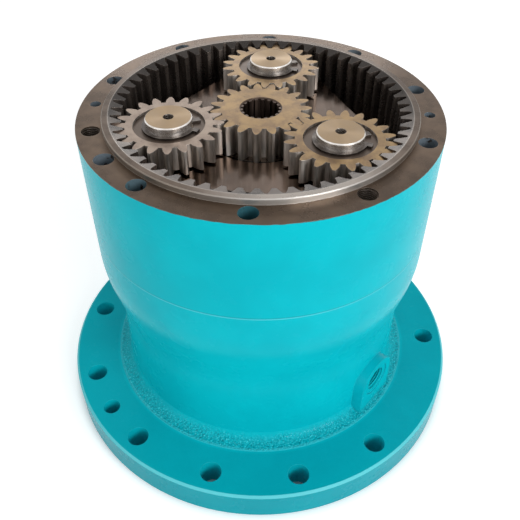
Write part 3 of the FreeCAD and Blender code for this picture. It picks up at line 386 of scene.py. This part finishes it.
def paint_material():
    """Gloss enamel: smooth on machined faces, grainy where the casting's skin shows at the neck's foot."""
    s = Shader("turquoise_enamel")
    shade, roughness = enamel(s)

    above_flange = s.ramp(s.z, FLANGE_TOP + 0.4 * MM, FLANGE_TOP + 1.4 * MM)
    inside_foot = s.ramp(s.radius, FOOT_RADIUS + 0.6 * MM, FOOT_RADIUS - 0.2 * MM)
    cast_skin = s.every(above_flange, inside_foot)
    ragged_height = s.math("ADD", s.z, s.math("MULTIPLY", s.noise(14 * MM), 12 * MM))
    rough_band = s.every(cast_skin, s.ramp(ragged_height, ROUGH_SKIN_TOP, ROUGH_SKIN_TOP - 11 * MM))
    flange_chamfer = s.every(
        s.ramp(s.radius, FLANGE_RADIUS - 4 * MM, FLANGE_RADIUS - 2.5 * MM),
        s.between(s.normal_z, 0.45, 0.93, 0.04),
    )
    flange_side = s.every(
        s.ramp(s.radius, FLANGE_RADIUS - 1 * MM, FLANGE_RADIUS - 0.2 * MM),
        s.ramp(s.z, FLANGE_TOP - 1 * MM, FLANGE_TOP - 3 * MM),
    )
    flange_land = s.every(
        s.ramp(s.radius, FOOT_RADIUS + 1 * MM, FOOT_RADIUS + 5 * MM),
        s.ramp(s.normal_z, 0.93, 0.98),
    )
    # The step round the neck's foot, where a highlight line is painted
    foot_highlight = s.every(
        s.between(s.z, FLANGE_TOP - 0.2 * MM, FLANGE_TOP + 3 * MM, 0.2 * MM),
        s.between(s.radius, FOOT_RADIUS - 1.8 * MM, FOOT_RADIUS + 0.6 * MM, 0.4 * MM),
    )
    seam_highlight = s.between(s.z, SEAM - 1.4 * MM, SEAM - 0.3 * MM, 0.3 * MM)

    grain = s.grains(2.6 * MM)
    fine = s.noise(1.6 * MM, 4)
    normal = s.rounded(0.9 * MM)
    normal = s.bump(s.noise(30 * MM, 2), 1.2 * MM, s.share(cast_skin, 0.22), normal)
    normal = s.bump(s.noise(4 * MM, 2), 0.04 * MM, 0.4, normal)
    normal = s.bump(grain, 1.6 * MM, rough_band, normal)
    normal = s.bump(fine, 0.8 * MM, rough_band, normal)

    # On the rough skin: painted shade in the hollows of the grain and painted glints on its crests
    shade = s.tint(shade, s.every(rough_band, s.ramp(fine, 0.55, 0.35)), 0.45, TEAL_SHADE)
    shade = s.tint(shade, s.every(rough_band, s.ramp(fine, 0.56, 0.68)), 0.75, GLINT)
    # Painted shade on the flange's outer side and, less, on its flat top
    shade = s.mix(s.some(s.share(flange_side, 0.45), s.share(flange_land, 0.22)), shade, TEAL_SHADE)
    # Edges painted lighter, partly wear and partly painted highlight, and a painted highlight line round the
    # neck's foot
    shade = s.tint(shade, s.some(s.edges(0.9 * MM), foot_highlight), 0.5, TURQUOISE_WEAR_AND_HIGHLIGHT)
    # Painted highlights along the flange's chamfer and along the casing's top edge under the seam
    shade = s.mix(s.some(s.share(flange_chamfer, 0.6), s.share(seam_highlight, 0.35)), shade, TURQUOISE_HIGHLIGHT)
    return s.finish(
        base_color=shade, roughness=s.blend(rough_band, roughness, 0.24), normal=normal,
        specular_ior_level=0.05, coat_weight=s.share(rough_band, 0.08), coat_roughness=0.06,
    )


# Ring gear: enamel outside, machined and oiled above with painted shade to the front, dark teeth, a bright
# raised rim with a painted highlight


def ring_material():
    s = Shader("ring_gear_finish")
    enamel_colour, enamel_roughness = enamel(s)
    stains = s.noise(24 * MM, 5, 0.6)

    # Where each finish lies
    flat = s.ramp(s.normal_z, 0.6, 0.9)
    upright = s.invert(flat)
    leaning = s.ramp(s.normal_z, 0.35, 0.6)
    on_top = s.every(flat, s.ramp(s.radius, RIM_RADIUS, RIM_RADIUS + 0.3 * MM))
    outside = s.ramp(s.radius, RING_RADIUS - 0.9 * MM, RING_RADIUS - 0.5 * MM)
    worn_height = s.math("ADD", s.z, s.math("MULTIPLY", s.noise(9 * MM, 3), 1.6 * MM))
    bare_edge = s.ramp(worn_height, RING_TOP - 0.1 * MM, RING_TOP + 0.5 * MM)
    side_paint = s.every(outside, upright, s.invert(bare_edge))
    in_hole = s.every(
        upright,
        s.ramp(s.radius, RIM_RADIUS + 0.8 * MM, RIM_RADIUS + 1.2 * MM),
        s.invert(outside),
    )
    bare_holes = s.some(*(
        s.ramp(s.distance(on_bolt_circle(angle)), BARE_HOLE_REACH + 0.3 * MM, BARE_HOLE_REACH)
        for angle in BARE_HOLE_ANGLES
    ))
    overspray = s.every(in_hole, s.invert(bare_holes), s.ramp(s.noise(7 * MM), 0.28, 0.42))
    paint = s.some(side_paint, s.share(overspray, 0.8))
    rim = s.every(s.ramp(s.normal_z, 0.9, 0.98), s.between(s.radius, BEVEL_RADIUS, RIM_RADIUS, 0.2 * MM))
    rim_wall = s.every(
        upright,
        s.between(s.radius, RIM_RADIUS - 1.2 * MM, RIM_RADIUS + 0.5 * MM, 0.2 * MM),
    )
    tooth_tops = s.every(leaning, s.ramp(s.radius, BEVEL_RADIUS + 0.2 * MM, BEVEL_RADIUS))
    bevel_highlight = s.every(
        leaning,
        s.between(s.radius, BEVEL_RADIUS - 0.35 * MM, BEVEL_RADIUS + 0.35 * MM, 0.25 * MM),
    )
    flanks = s.every(s.invert(tooth_tops), s.ramp(s.radius, BEVEL_RADIUS, BEVEL_RADIUS - 0.6 * MM))
    rim_highlight = s.ramp(s.distance(RIM_HIGHLIGHT_PLACE), 110 * MM, 20 * MM)

    # The machined top: its oil streaks, and painted shade towards the front
    marks = s.turning_marks(s.place, 1.1 * MM, 0.05)
    # Painted shade: the machined top darkens towards the front, with a ragged edge
    front_shade = s.ramp(s.math("ADD", s.y, s.math("MULTIPLY", stains, 60 * MM)), 20 * MM, -130 * MM)
    streaks = s.ramp(s.noise(5 * MM, 4, 0.6), 0.6, 0.8)
    machined = s.mix(s.ramp(stains, 0.3, 0.72), RING_TOP_DARK, RING_TOP_BROWN)
    machined = s.tint(machined, marks, 0.08, PALE_STEEL)
    machined = s.tint(machined, front_shade, 0.45, OILY_BROWN)
    machined = s.tint(machined, streaks, 0.5, OILY_BROWN)

    # The raised rim and the teeth
    mottled = s.ramp(stains, 0.35, 0.65)
    # A highlight is painted on the rim's flat and on its wall, brightest at one place at the front
    rim_colour = s.tint(s.mix(mottled, RIM_DARK, RIM_BROWN), rim_highlight, 0.55, PALE_STEEL)
    wall_colour = s.mix(rim_highlight, RIM_WALL_DULL, RIM_WALL_HIGHLIGHT)
    top_colour = s.mix(mottled, TOOTH_TOP_DARK, TOOTH_TOP_BROWN)
    # Painted shade: the tooth tops towards the back are darker
    top_colour = s.tint(top_colour, s.ramp(s.y, -60 * MM, 50 * MM), 0.8, TOOTH_TOP_FAR_SHADE)
    drips = s.noise(7 * MM, 4, 0.6, stretch=(1, 1, 0.15))
    flank_colour = s.mix(s.ramp(drips, 0.34, 0.7), RING_FLANK_DARK, RING_FLANK_BROWN)

    # The enamel, and its overspray in the bolt holes
    seam_shade = s.ramp(s.z, SEAM + 0.9 * MM, SEAM + 0.2 * MM)
    enamel_colour = s.tint(enamel_colour, seam_shade, 0.7, TEAL_SHADE)
    # Painted light in the bolt holes: lighter grey away from the front, teal in the front ones
    hole_colour = s.mix(s.ramp(s.y, -100 * MM, -140 * MM), HOLE_LIT_GREY, HOLE_TEAL)
    enamel_colour = s.mix(in_hole, enamel_colour, hole_colour)

    # All of it together
    colour = s.mix(flanks, machined, flank_colour)
    colour = s.mix(rim, colour, rim_colour)
    colour = s.mix(tooth_tops, colour, top_colour)
    # A painted highlight along the edge of the bevel
    colour = s.tint(colour, bevel_highlight, 0.3, PALE_STEEL)
    colour = s.mix(rim_wall, colour, wall_colour)
    # Bare edges painted lighter: partly wear, partly painted highlight
    edge_wear_and_highlight = s.every(s.edges(0.35 * MM), s.invert(paint), s.invert(flanks))
    colour = s.tint(colour, edge_wear_and_highlight, 0.3, PALE_STEEL)
    colour = s.mix(paint, colour, enamel_colour)
    metal_roughness = s.blend(flanks, s.spread(stains, 0.22, 0.34), s.spread(s.noise(7 * MM), 0.22, 0.34))
    metal_roughness = s.blend(rim_wall, metal_roughness, 0.30)
    metal_share = s.blend(rim_wall, s.blend(flanks, 1.0, 0.85), 0.9)
    normal = s.rounded(0.35 * MM)
    normal = s.bump(marks, 0.02 * MM, s.every(on_top, s.invert(paint)), normal)
    normal = s.bump(s.noise(4 * MM, 2), 0.04 * MM, s.share(paint, 0.4), normal)
    normal = s.bump(s.noise(2.2 * MM, 3), 0.08 * MM, s.share(flanks, 0.4), normal)
    return s.finish(
        base_color=colour, metallic=s.blend(paint, metal_share, 0.0), normal=normal,
        roughness=s.blend(paint, metal_roughness, enamel_roughness), specular_ior_level=0.05,
        anisotropic=s.blend(paint, 0.8, 0.0), tangent=s.grooves(flat, s.place),
    )


# Gears, turned pieces and the rest


def gear_material(name, centre, reach, face, face_dark, flank, flank_dark):
    """Faces with lathe marks and oil stains, streaked flanks, edges painted lighter (partly wear, partly
    painted highlight) and a bore painted dark as shade.
    """
    s = Shader(name)
    local = s.local([centre], reach)
    own_radius = s.reach(local)
    flat = s.ramp(s.normal_z, 0.7, 0.95)
    marks = s.turning_marks(local, 0.9 * MM)
    stains = s.noise(13 * MM, 5, 0.62)
    spots = s.every(s.ramp(s.noise(3 * MM, 3, 0.5), 0.6, 0.74), s.ramp(stains, 0.52, 0.4))
    along = s.noise(4.5 * MM, 3, 0.5, stretch=(1, 1, 0.12))
    edge_wear_and_highlight = s.every(s.edges(0.3 * MM), s.ramp(own_radius, GEAR_BORE_REACH, GEAR_BORE_REACH + 2 * MM))
    shaded_bore = s.some(
        s.every(s.invert(flat), s.ramp(own_radius, GEAR_BORE_REACH, GEAR_BORE_REACH - 1 * MM)),
        s.ramp(own_radius, SUN_BORE_MOUTH + 0.2 * MM, SUN_BORE_MOUTH - 0.2 * MM),
    )

    face_colour = s.mix(s.ramp(stains, 0.30, 0.66), face_dark, face)
    face_colour = s.tint(face_colour, marks, 0.08, PALE_STEEL)
    face_colour = s.tint(face_colour, spots, 0.5, OILY_BROWN)
    flank_colour = s.mix(s.ramp(along, 0.30, 0.70), flank_dark, flank)
    colour = s.mix(flat, flank_colour, face_colour)
    # Edges painted lighter: partly wear, partly painted highlight
    colour = s.tint(colour, edge_wear_and_highlight, 0.3, PALE_STEEL)
    # Painted shade: the bore and the sun's bore mouth are painted dark
    colour = s.mix(shaded_bore, colour, BROWN_STEEL_DARK)
    normal = s.rounded(0.4 * MM)
    normal = s.bump(marks, 0.05 * MM, s.share(flat, 0.5), normal)
    normal = s.bump(along, 0.03 * MM, s.share(s.invert(flat), 0.2), normal)
    return s.finish(
        base_color=colour, metallic=0.95, normal=normal,
        roughness=s.blend(flat, s.spread(along, 0.28, 0.36), s.spread(stains, 0.36, 0.46)),
        anisotropic=s.blend(flat, 0.9, 0.35), tangent=s.grooves(flat, local),
    )


def turned_material(
    name, face, side, stain, rough, sheen=0.0, side_rough=0.25, pitch=0.8 * MM, centres=(), reach=0.0
):
    """A turned piece: rings and a stretched sheen on its faces, and edges painted lighter, partly wear and
    partly painted highlight.
    """
    s = Shader(name)
    local = s.local(centres, reach)
    flat = s.ramp(s.normal_z, 0.7, 0.95)
    marks = s.turning_marks(local, pitch)
    stains = s.noise(11 * MM, 5, 0.6)
    colour = s.mix(flat, side, face)
    colour = s.tint(colour, s.ramp(stains, 0.62, 0.36), 0.3, stain)
    colour = s.tint(colour, marks, 0.10, PALE_STEEL)
    # Edges painted lighter: partly wear, partly painted highlight
    colour = s.tint(colour, s.edges(0.35 * MM), 0.45, PALE_STEEL)
    normal = s.bump(marks, 0.03 * MM, s.share(flat, 0.45), s.rounded(0.35 * MM))
    return s.finish(
        base_color=colour, metallic=1.0, normal=normal,
        roughness=s.blend(flat, side_rough, s.spread(stains, rough, rough + 0.12)),
        anisotropic=sheen, tangent=s.grooves(flat, local),
    )


def carrier_material():
    """Milled plate, oiled: satin, with fine streaks, edges painted lighter (partly wear, partly painted
    highlight) and a splined bore painted dark as shade.
    """
    s = Shader("oiled_carrier_plate")
    stains = s.noise(34 * MM, 3, 0.5)
    milled = s.noise(1.6 * MM, 3, 0.6, stretch=(1, 0.05, 1))
    colour = s.mix(s.ramp(stains, 0.3, 0.7), CARRIER_DARK, CARRIER_BROWN)
    colour = s.tint(colour, s.ramp(milled, 0.45, 0.7), 0.14, GREY_STEEL)
    # Edges painted lighter: partly wear, partly painted highlight
    colour = s.tint(colour, s.edges(0.6 * MM), 0.6, PALE_STEEL)
    # Painted shade in the splined bore
    shaded_bore = s.ramp(s.radius, CARRIER_BORE_REACH, CARRIER_BORE_REACH - 4 * MM)
    colour = s.mix(shaded_bore, colour, OILY_BROWN)
    normal = s.bump(milled, 0.03 * MM, 0.4, s.rounded(0.5 * MM))
    return s.finish(base_color=colour, metallic=1.0, roughness=s.spread(stains, 0.13, 0.19), normal=normal)


def dark_steel_material(name, dark, light, rough):
    """Blackened or oily steel with lighter places where its film is rubbed thin, and edges painted lighter,
    partly wear and partly painted highlight.
    """
    s = Shader(name)
    film = s.noise(8 * MM, 5, 0.65)
    colour = s.mix(s.ramp(film, 0.4, 0.72), dark, light)
    # Edges painted lighter: partly wear, partly painted highlight
    colour = s.tint(colour, s.edges(0.4 * MM), 0.7, GREY_STEEL)
    normal = s.bump(s.noise(3 * MM, 2), 0.03 * MM, 0.3, s.rounded(0.3 * MM))
    roughness = s.spread(film, rough, rough + 0.15)
    return s.finish(base_color=colour, metallic=1.0, roughness=roughness, normal=normal)


def casting_material():
    """The hub: a machined casting, satin grey with open grain."""
    s = Shader("machined_hub")
    stains = s.noise(30 * MM, 5, 0.6)
    colour = s.mix(s.ramp(stains, 0.3, 0.7), HUB_STEEL_DARK, HUB_STEEL)
    # Edges painted lighter: partly wear, partly painted highlight
    colour = s.tint(colour, s.edges(0.6 * MM), 0.8, PALE_STEEL)
    normal = s.bump(s.grains(1.6 * MM), 0.06 * MM, 0.4, s.rounded(0.5 * MM))
    normal = s.bump(s.turning_marks(s.place, 1.4 * MM), 0.05 * MM, 0.4, normal)
    return s.finish(base_color=colour, metallic=0.9, roughness=s.spread(stains, 0.34, 0.5), normal=normal)


def rubber_material():
    s = Shader("nitrile_rubber")
    dust = s.noise(7 * MM, 4)
    colour = s.mix(s.ramp(dust, 0.4, 0.75), RUBBER_BLACK, RUBBER_DUSTY)
    normal = s.bump(s.grains(0.8 * MM), 0.05 * MM, 0.35)
    return s.finish(base_color=colour, roughness=s.spread(dust, 0.45, 0.65), normal=normal)


def bronze_material():
    s = Shader("bush_bronze")
    tarnish = s.noise(9 * MM, 4)
    colour = s.mix(s.ramp(tarnish, 0.35, 0.7), BRONZE_TARNISHED, BRONZE)
    normal = s.bump(s.noise(1.2 * MM, 2, stretch=(1, 1, 4)), 0.03 * MM, 0.4, s.rounded(0.3 * MM))
    return s.finish(base_color=colour, metallic=1.0, roughness=s.spread(tarnish, 0.22, 0.4), normal=normal)


# Dressing the nodes


SMOOTH_ANGLE = math.radians(32)


def dress(node, material):
    """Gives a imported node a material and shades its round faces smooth."""
    mesh = NODES[node].data
    mesh.materials.clear()
    mesh.materials.append(material)
    mesh.shade_smooth()
    mesh.set_sharp_from_angle(angle=SMOOTH_ANGLE)


ENAMEL = paint_material()
dress("casing", ENAMEL)
dress("ring_gear", ring_material())

# The left planet is greyer than the other two
FACE_TONES = ((TAN_STEEL, TAN_STEEL_DARK), (GREY_TAN, GREY_TAN_DARK), (TAN_STEEL, TAN_STEEL_DARK))
for index, (centre, (face, face_dark)) in enumerate(zip(FIRST_CENTRES, FACE_TONES), 1):
    dress(f"first_stage_planet_gear_{index}", gear_material(
        f"planet_steel_{index}", centre, 52 * MM, face, face_dark, FLANK_STEEL, FLANK_STEEL_DARK
    ))
for index, centre in enumerate(SECOND_CENTRES, 1):
    dress(f"second_stage_planet_gear_{index}", gear_material(
        f"oiled_planet_steel_{index}", centre, 56 * MM, BROWN_STEEL, BROWN_STEEL_DARK, BROWN_STEEL, OILY_BROWN
    ))
dress("first_sun_gear", gear_material(
    "sun_steel", MAIN_AXIS, 60 * MM, TAN_STEEL, TAN_STEEL_DARK, FLANK_STEEL, FLANK_STEEL_DARK
))
dress("second_sun_gear", dark_steel_material("oily_sun_steel", OILY_BROWN, GREY_STEEL, 0.1))
dress("first_stage_planet_pins", turned_material(
    "polished_pin_steel", PIN_TAN, POLISHED_STEEL, TAN_STEEL, 0.38,
    sheen=0.8, side_rough=0.27, pitch=0.6 * MM, centres=FIRST_CENTRES, reach=30 * MM,
))
dress("second_stage_planet_pins", turned_material(
    "oiled_pin_steel", BROWN_STEEL, GREY_STEEL, BROWN_STEEL_DARK, 0.14,
    sheen=0.7, centres=SECOND_CENTRES, reach=34 * MM,
))
for stage, centres in (("first", FIRST_CENTRES), ("second", SECOND_CENTRES)):
    dress(f"{stage}_stage_retaining_washers", turned_material(
        f"{stage}_washer_steel", WASHER_BROWN, GREY_STEEL, BROWN_STEEL_DARK, 0.34,
        sheen=0.5, centres=centres, reach=45 * MM,
    ))
    dress(f"{stage}_stage_thrust_washers", turned_material(
        f"{stage}_thrust_washer_steel", THRUST_WASHER_BROWN, BROWN_STEEL, OILY_BROWN, 0.2,
        sheen=0.5, centres=centres, reach=50 * MM,
    ))
    dress(f"{stage}_stage_circlips", dark_steel_material(
        f"{stage}_spring_steel", SPRING_STEEL, SPRING_STEEL_LIGHT, 0.28
    ))
BUSH_BRONZE = bronze_material()
dress("first_stage_planet_bushes", BUSH_BRONZE)
dress("second_stage_planet_bushes", BUSH_BRONZE)
dress("first_carrier", carrier_material())
dress("sun_thrust_ring", dark_steel_material("thrust_ring_steel", OILY_BROWN, BROWN_STEEL, 0.15))
dress("second_sun_thrust_washer", dark_steel_material("sun_washer_steel", OILY_BROWN, BROWN_STEEL, 0.2))
BEARING_STEEL = turned_material(
    "bearing_steel", PALE_STEEL, PALE_STEEL, GREY_STEEL, 0.1, sheen=0.3, pitch=0.4 * MM
)
for level in ("upper", "lower"):
    for piece in ("cup", "cone", "rollers"):
        dress(f"{level}_bearing_{piece}", BEARING_STEEL)
dress("dowel_pins", turned_material("dowel_steel", GREY_STEEL, PALE_STEEL, BROWN_STEEL, 0.14))
dress("bearing_spacer", turned_material("spacer_steel", GREY_STEEL, GREY_STEEL, BROWN_STEEL, 0.28))
dress("bearing_lock_nut", dark_steel_material("black_oxide", NUT_BLACK, NUT_BLACK_LIGHT, 0.3))
dress("seal_cover_screws", dark_steel_material("screw_oxide", SCREW_BLACK, SCREW_BLACK_LIGHT, 0.28))
dress("seal_cover", turned_material(
    "machined_cover_steel", COVER_STEEL, COVER_STEEL, COVER_STEEL_DARK, 0.3, sheen=0.45, pitch=1.2 * MM
))
dress("output_hub", casting_material())
RUBBER = rubber_material()
dress("cover_o_ring", RUBBER)
dress("shaft_seal", RUBBER)


# Threads, which the solids leave as plain bores

STEPS_PER_TURN = 40
TAPER_STEPS = 12
END_GAP = 0.55
ROOT_SINK = 0.02 * MM
RIDGE_PROFILE = ((-0.42, False), (-0.08, True), (0.08, True), (0.42, False))

# Bore radius, length, pitch and depth
PORT_THREAD = (14 * MM, 18 * MM, 2.3 * MM, 1.1 * MM)
PIN_THREAD = (5 * MM, 12 * MM, 1.5 * MM, 0.7 * MM)
TOP_HOLE_THREAD = (8.75 * MM, 30 * MM, 2.0 * MM, 0.9 * MM)


def helix_ridge(name, start, axis, size, body, material):
    """A V-shaped ridge that winds round the inside of a bore, from start along axis.

    It starts and ends END_GAP pitches clear of the thread's ends, grows over TAPER_STEPS at each, and its
    root is sunk a little into the wall. RIDGE_PROFILE gives its corners, in pitches along the axis, and
    which of them lie on the crest.
    """
    bore_radius, length, pitch, depth = size
    side = axis.orthogonal().normalized()
    other = axis.cross(side)
    steps = round((length / pitch - 2 * END_GAP) * STEPS_PER_TURN)
    mesh = bmesh.new()
    rows = []
    for step in range(steps + 1):
        angle = 2 * math.pi * step / STEPS_PER_TURN
        outward = side * math.cos(angle) + other * math.sin(angle)
        turns = END_GAP + step / STEPS_PER_TURN
        crest = bore_radius - depth * min(1.0, step / TAPER_STEPS, (steps - step) / TAPER_STEPS)
        root = bore_radius + ROOT_SINK
        rows.append([
            mesh.verts.new(start + axis * pitch * (turns + along) + outward * (crest if on_crest else root))
            for along, on_crest in RIDGE_PROFILE
        ])
    for first, second in zip(rows, rows[1:]):
        for corner in range(len(RIDGE_PROFILE) - 1):
            mesh.faces.new((first[corner], second[corner], second[corner + 1], first[corner + 1]))
    data = bpy.data.meshes.new(name)
    bmesh.ops.recalc_face_normals(mesh, faces=mesh.faces)
    mesh.to_mesh(data)
    mesh.free()
    data.materials.append(material)
    thread = bpy.data.objects.new(name, data)
    bpy.context.scene.collection.objects.link(thread)
    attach(thread, body)


THREAD_STEEL = dark_steel_material("thread_steel", THREAD_BROWN, THREAD_BROWN_LIGHT, 0.3)
helix_ridge("oil_port_thread", PORT_MOUTH, -PORT_AXIS, PORT_THREAD, "housing", ENAMEL)
for index, centre in enumerate(FIRST_CENTRES, 1):
    mouth = Vector((centre.x, centre.y, PIN_TOP))
    helix_ridge(f"pin_thread_{index}", mouth, DOWN, PIN_THREAD, "first_carrier", THREAD_STEEL)
for index, angle in enumerate(BARE_HOLE_ANGLES, 1):
    helix_ridge(
        f"top_hole_thread_{index}", on_bolt_circle(angle, RING_TOP), DOWN, TOP_HOLE_THREAD,
        "housing", THREAD_STEEL,
    )


# Floor, camera and light

FLOOR_HALF = 4.0
FLOOR_LEVEL = -0.2 * MM
FLOOR_GLOW = 0.48
AMBIENT = 0.47

CAMERA_PLACE = (0, -0.55946, 0.66454)
CAMERA_PITCH = math.radians(42.279)
CAMERA_YAW = -0.0006927
CAMERA_ROLL = 0.0028864
CAMERA_LENS = 44.967
SENSOR_WIDTH = 36

# Name, place, what it points at, size and watts
LAMPS = (
    ("key", (1.55, -2.05, 1.45), (0, 0, 0.2), (1.6, 1.0), 40),
    ("fill", (-1.9, -1.6, 0.8), (0, 0, 0.15), (1.4, 1.0), 7),
    ("glare", (-0.1, 3.0, 1.42), (0, 0, 0.35), (1.9, 0.4), 12),
)


def seen_directly(tree):
    """1 for what the camera sees, also in mirrors and through glass, and 0 for the light it gives."""
    path = tree.nodes.new("ShaderNodeLightPath")
    total = path.outputs["Is Camera Ray"]
    for name in ("Is Glossy Ray", "Is Transmission Ray"):
        add = tree.nodes.new("ShaderNodeMath")
        add.operation = "ADD"
        add.use_clamp = True
        tree.links.new(total, add.inputs[0])
        tree.links.new(path.outputs[name], add.inputs[1])
        total = add.outputs[0]
    return total


def make_floor():
    """A pale sheet that glows white to the camera, but not close to the flange, so the shadow stays."""
    mesh = bmesh.new()
    mesh.faces.new([
        mesh.verts.new((x * FLOOR_HALF, y * FLOOR_HALF, FLOOR_LEVEL))
        for x, y in ((-1, -1), (1, -1), (1, 1), (-1, 1))
    ])
    data = bpy.data.meshes.new("floor")
    mesh.to_mesh(data)
    mesh.free()
    s = Shader("pale_floor")
    shade = s.mix(s.ramp(s.noise(0.5, 2), 0.3, 0.7), FLOOR_GREY, FLOOR_WHITE)
    data.materials.append(s.finish(base_color=shade, roughness=0.7, specular_ior_level=0.1))
    clear_of_flange = s.ramp(s.radius, FLANGE_RADIUS - 7 * MM, FLANGE_RADIUS + 11 * MM)
    glow = s.add("ShaderNodeEmission")
    s.link(s.share(s.every(seen_directly(s.tree), clear_of_flange), FLOOR_GLOW), glow.inputs["Strength"])
    whiten = s.add("ShaderNodeAddShader")
    s.link(s.surface.outputs[0], whiten.inputs[0])
    s.link(glow.outputs[0], whiten.inputs[1])
    s.link(whiten.outputs[0], s.tree.nodes["Material Output"].inputs["Surface"])
    floor = bpy.data.objects.new("floor", data)
    bpy.context.scene.collection.objects.link(floor)


def make_camera():
    """The photograph's view: down at 42 degrees along +Y, from 0.66 m above the floor."""
    yaw, roll = CAMERA_YAW, CAMERA_ROLL
    level = Vector((math.sin(yaw), math.cos(yaw), 0)) * math.cos(CAMERA_PITCH)
    forward = level + DOWN * math.sin(CAMERA_PITCH)
    right = Vector((math.cos(yaw), -math.sin(yaw), 0))
    upward = right.cross(forward)
    across = right * math.cos(roll) + upward * math.sin(roll)
    upward = upward * math.cos(roll) - right * math.sin(roll)
    data = bpy.data.cameras.new("camera")
    data.lens = CAMERA_LENS
    data.sensor_width = SENSOR_WIDTH
    camera = bpy.data.objects.new("camera", data)
    turn = Matrix((across, upward, -forward)).transposed().to_4x4()
    camera.matrix_world = Matrix.Translation(CAMERA_PLACE) @ turn
    bpy.context.scene.collection.objects.link(camera)
    bpy.context.scene.camera = camera


def make_world():
    """White where the camera and mirrors look, and a softer even light for everything else."""
    world = bpy.data.worlds.new("studio")
    bpy.context.scene.world = world
    world.use_nodes = True
    tree = world.node_tree
    background = tree.nodes["Background"]
    background.inputs["Color"].default_value = (1, 1, 1, 1)
    level = tree.nodes.new("ShaderNodeMapRange")
    tree.links.new(seen_directly(tree), level.inputs["Value"])
    level.inputs["To Min"].default_value = AMBIENT
    level.inputs["To Max"].default_value = 1.0
    tree.links.new(level.outputs["Result"], background.inputs["Strength"])


def make_lamp(name, place, aim, size, power):
    data = bpy.data.lights.new(name, "AREA")
    data.shape = "RECTANGLE"
    data.size, data.size_y = size
    data.energy = power
    lamp = bpy.data.objects.new(name, data)
    place = Vector(place)
    turn = (Vector(aim) - place).to_track_quat("-Z", "Y").to_matrix().to_4x4()
    lamp.matrix_world = Matrix.Translation(place) @ turn
    bpy.context.scene.collection.objects.link(lamp)


make_floor()
make_camera()
make_world()
for lamp in LAMPS:
    make_lamp(*lamp)
bpy.context.scene.view_settings.view_transform = "Standard"
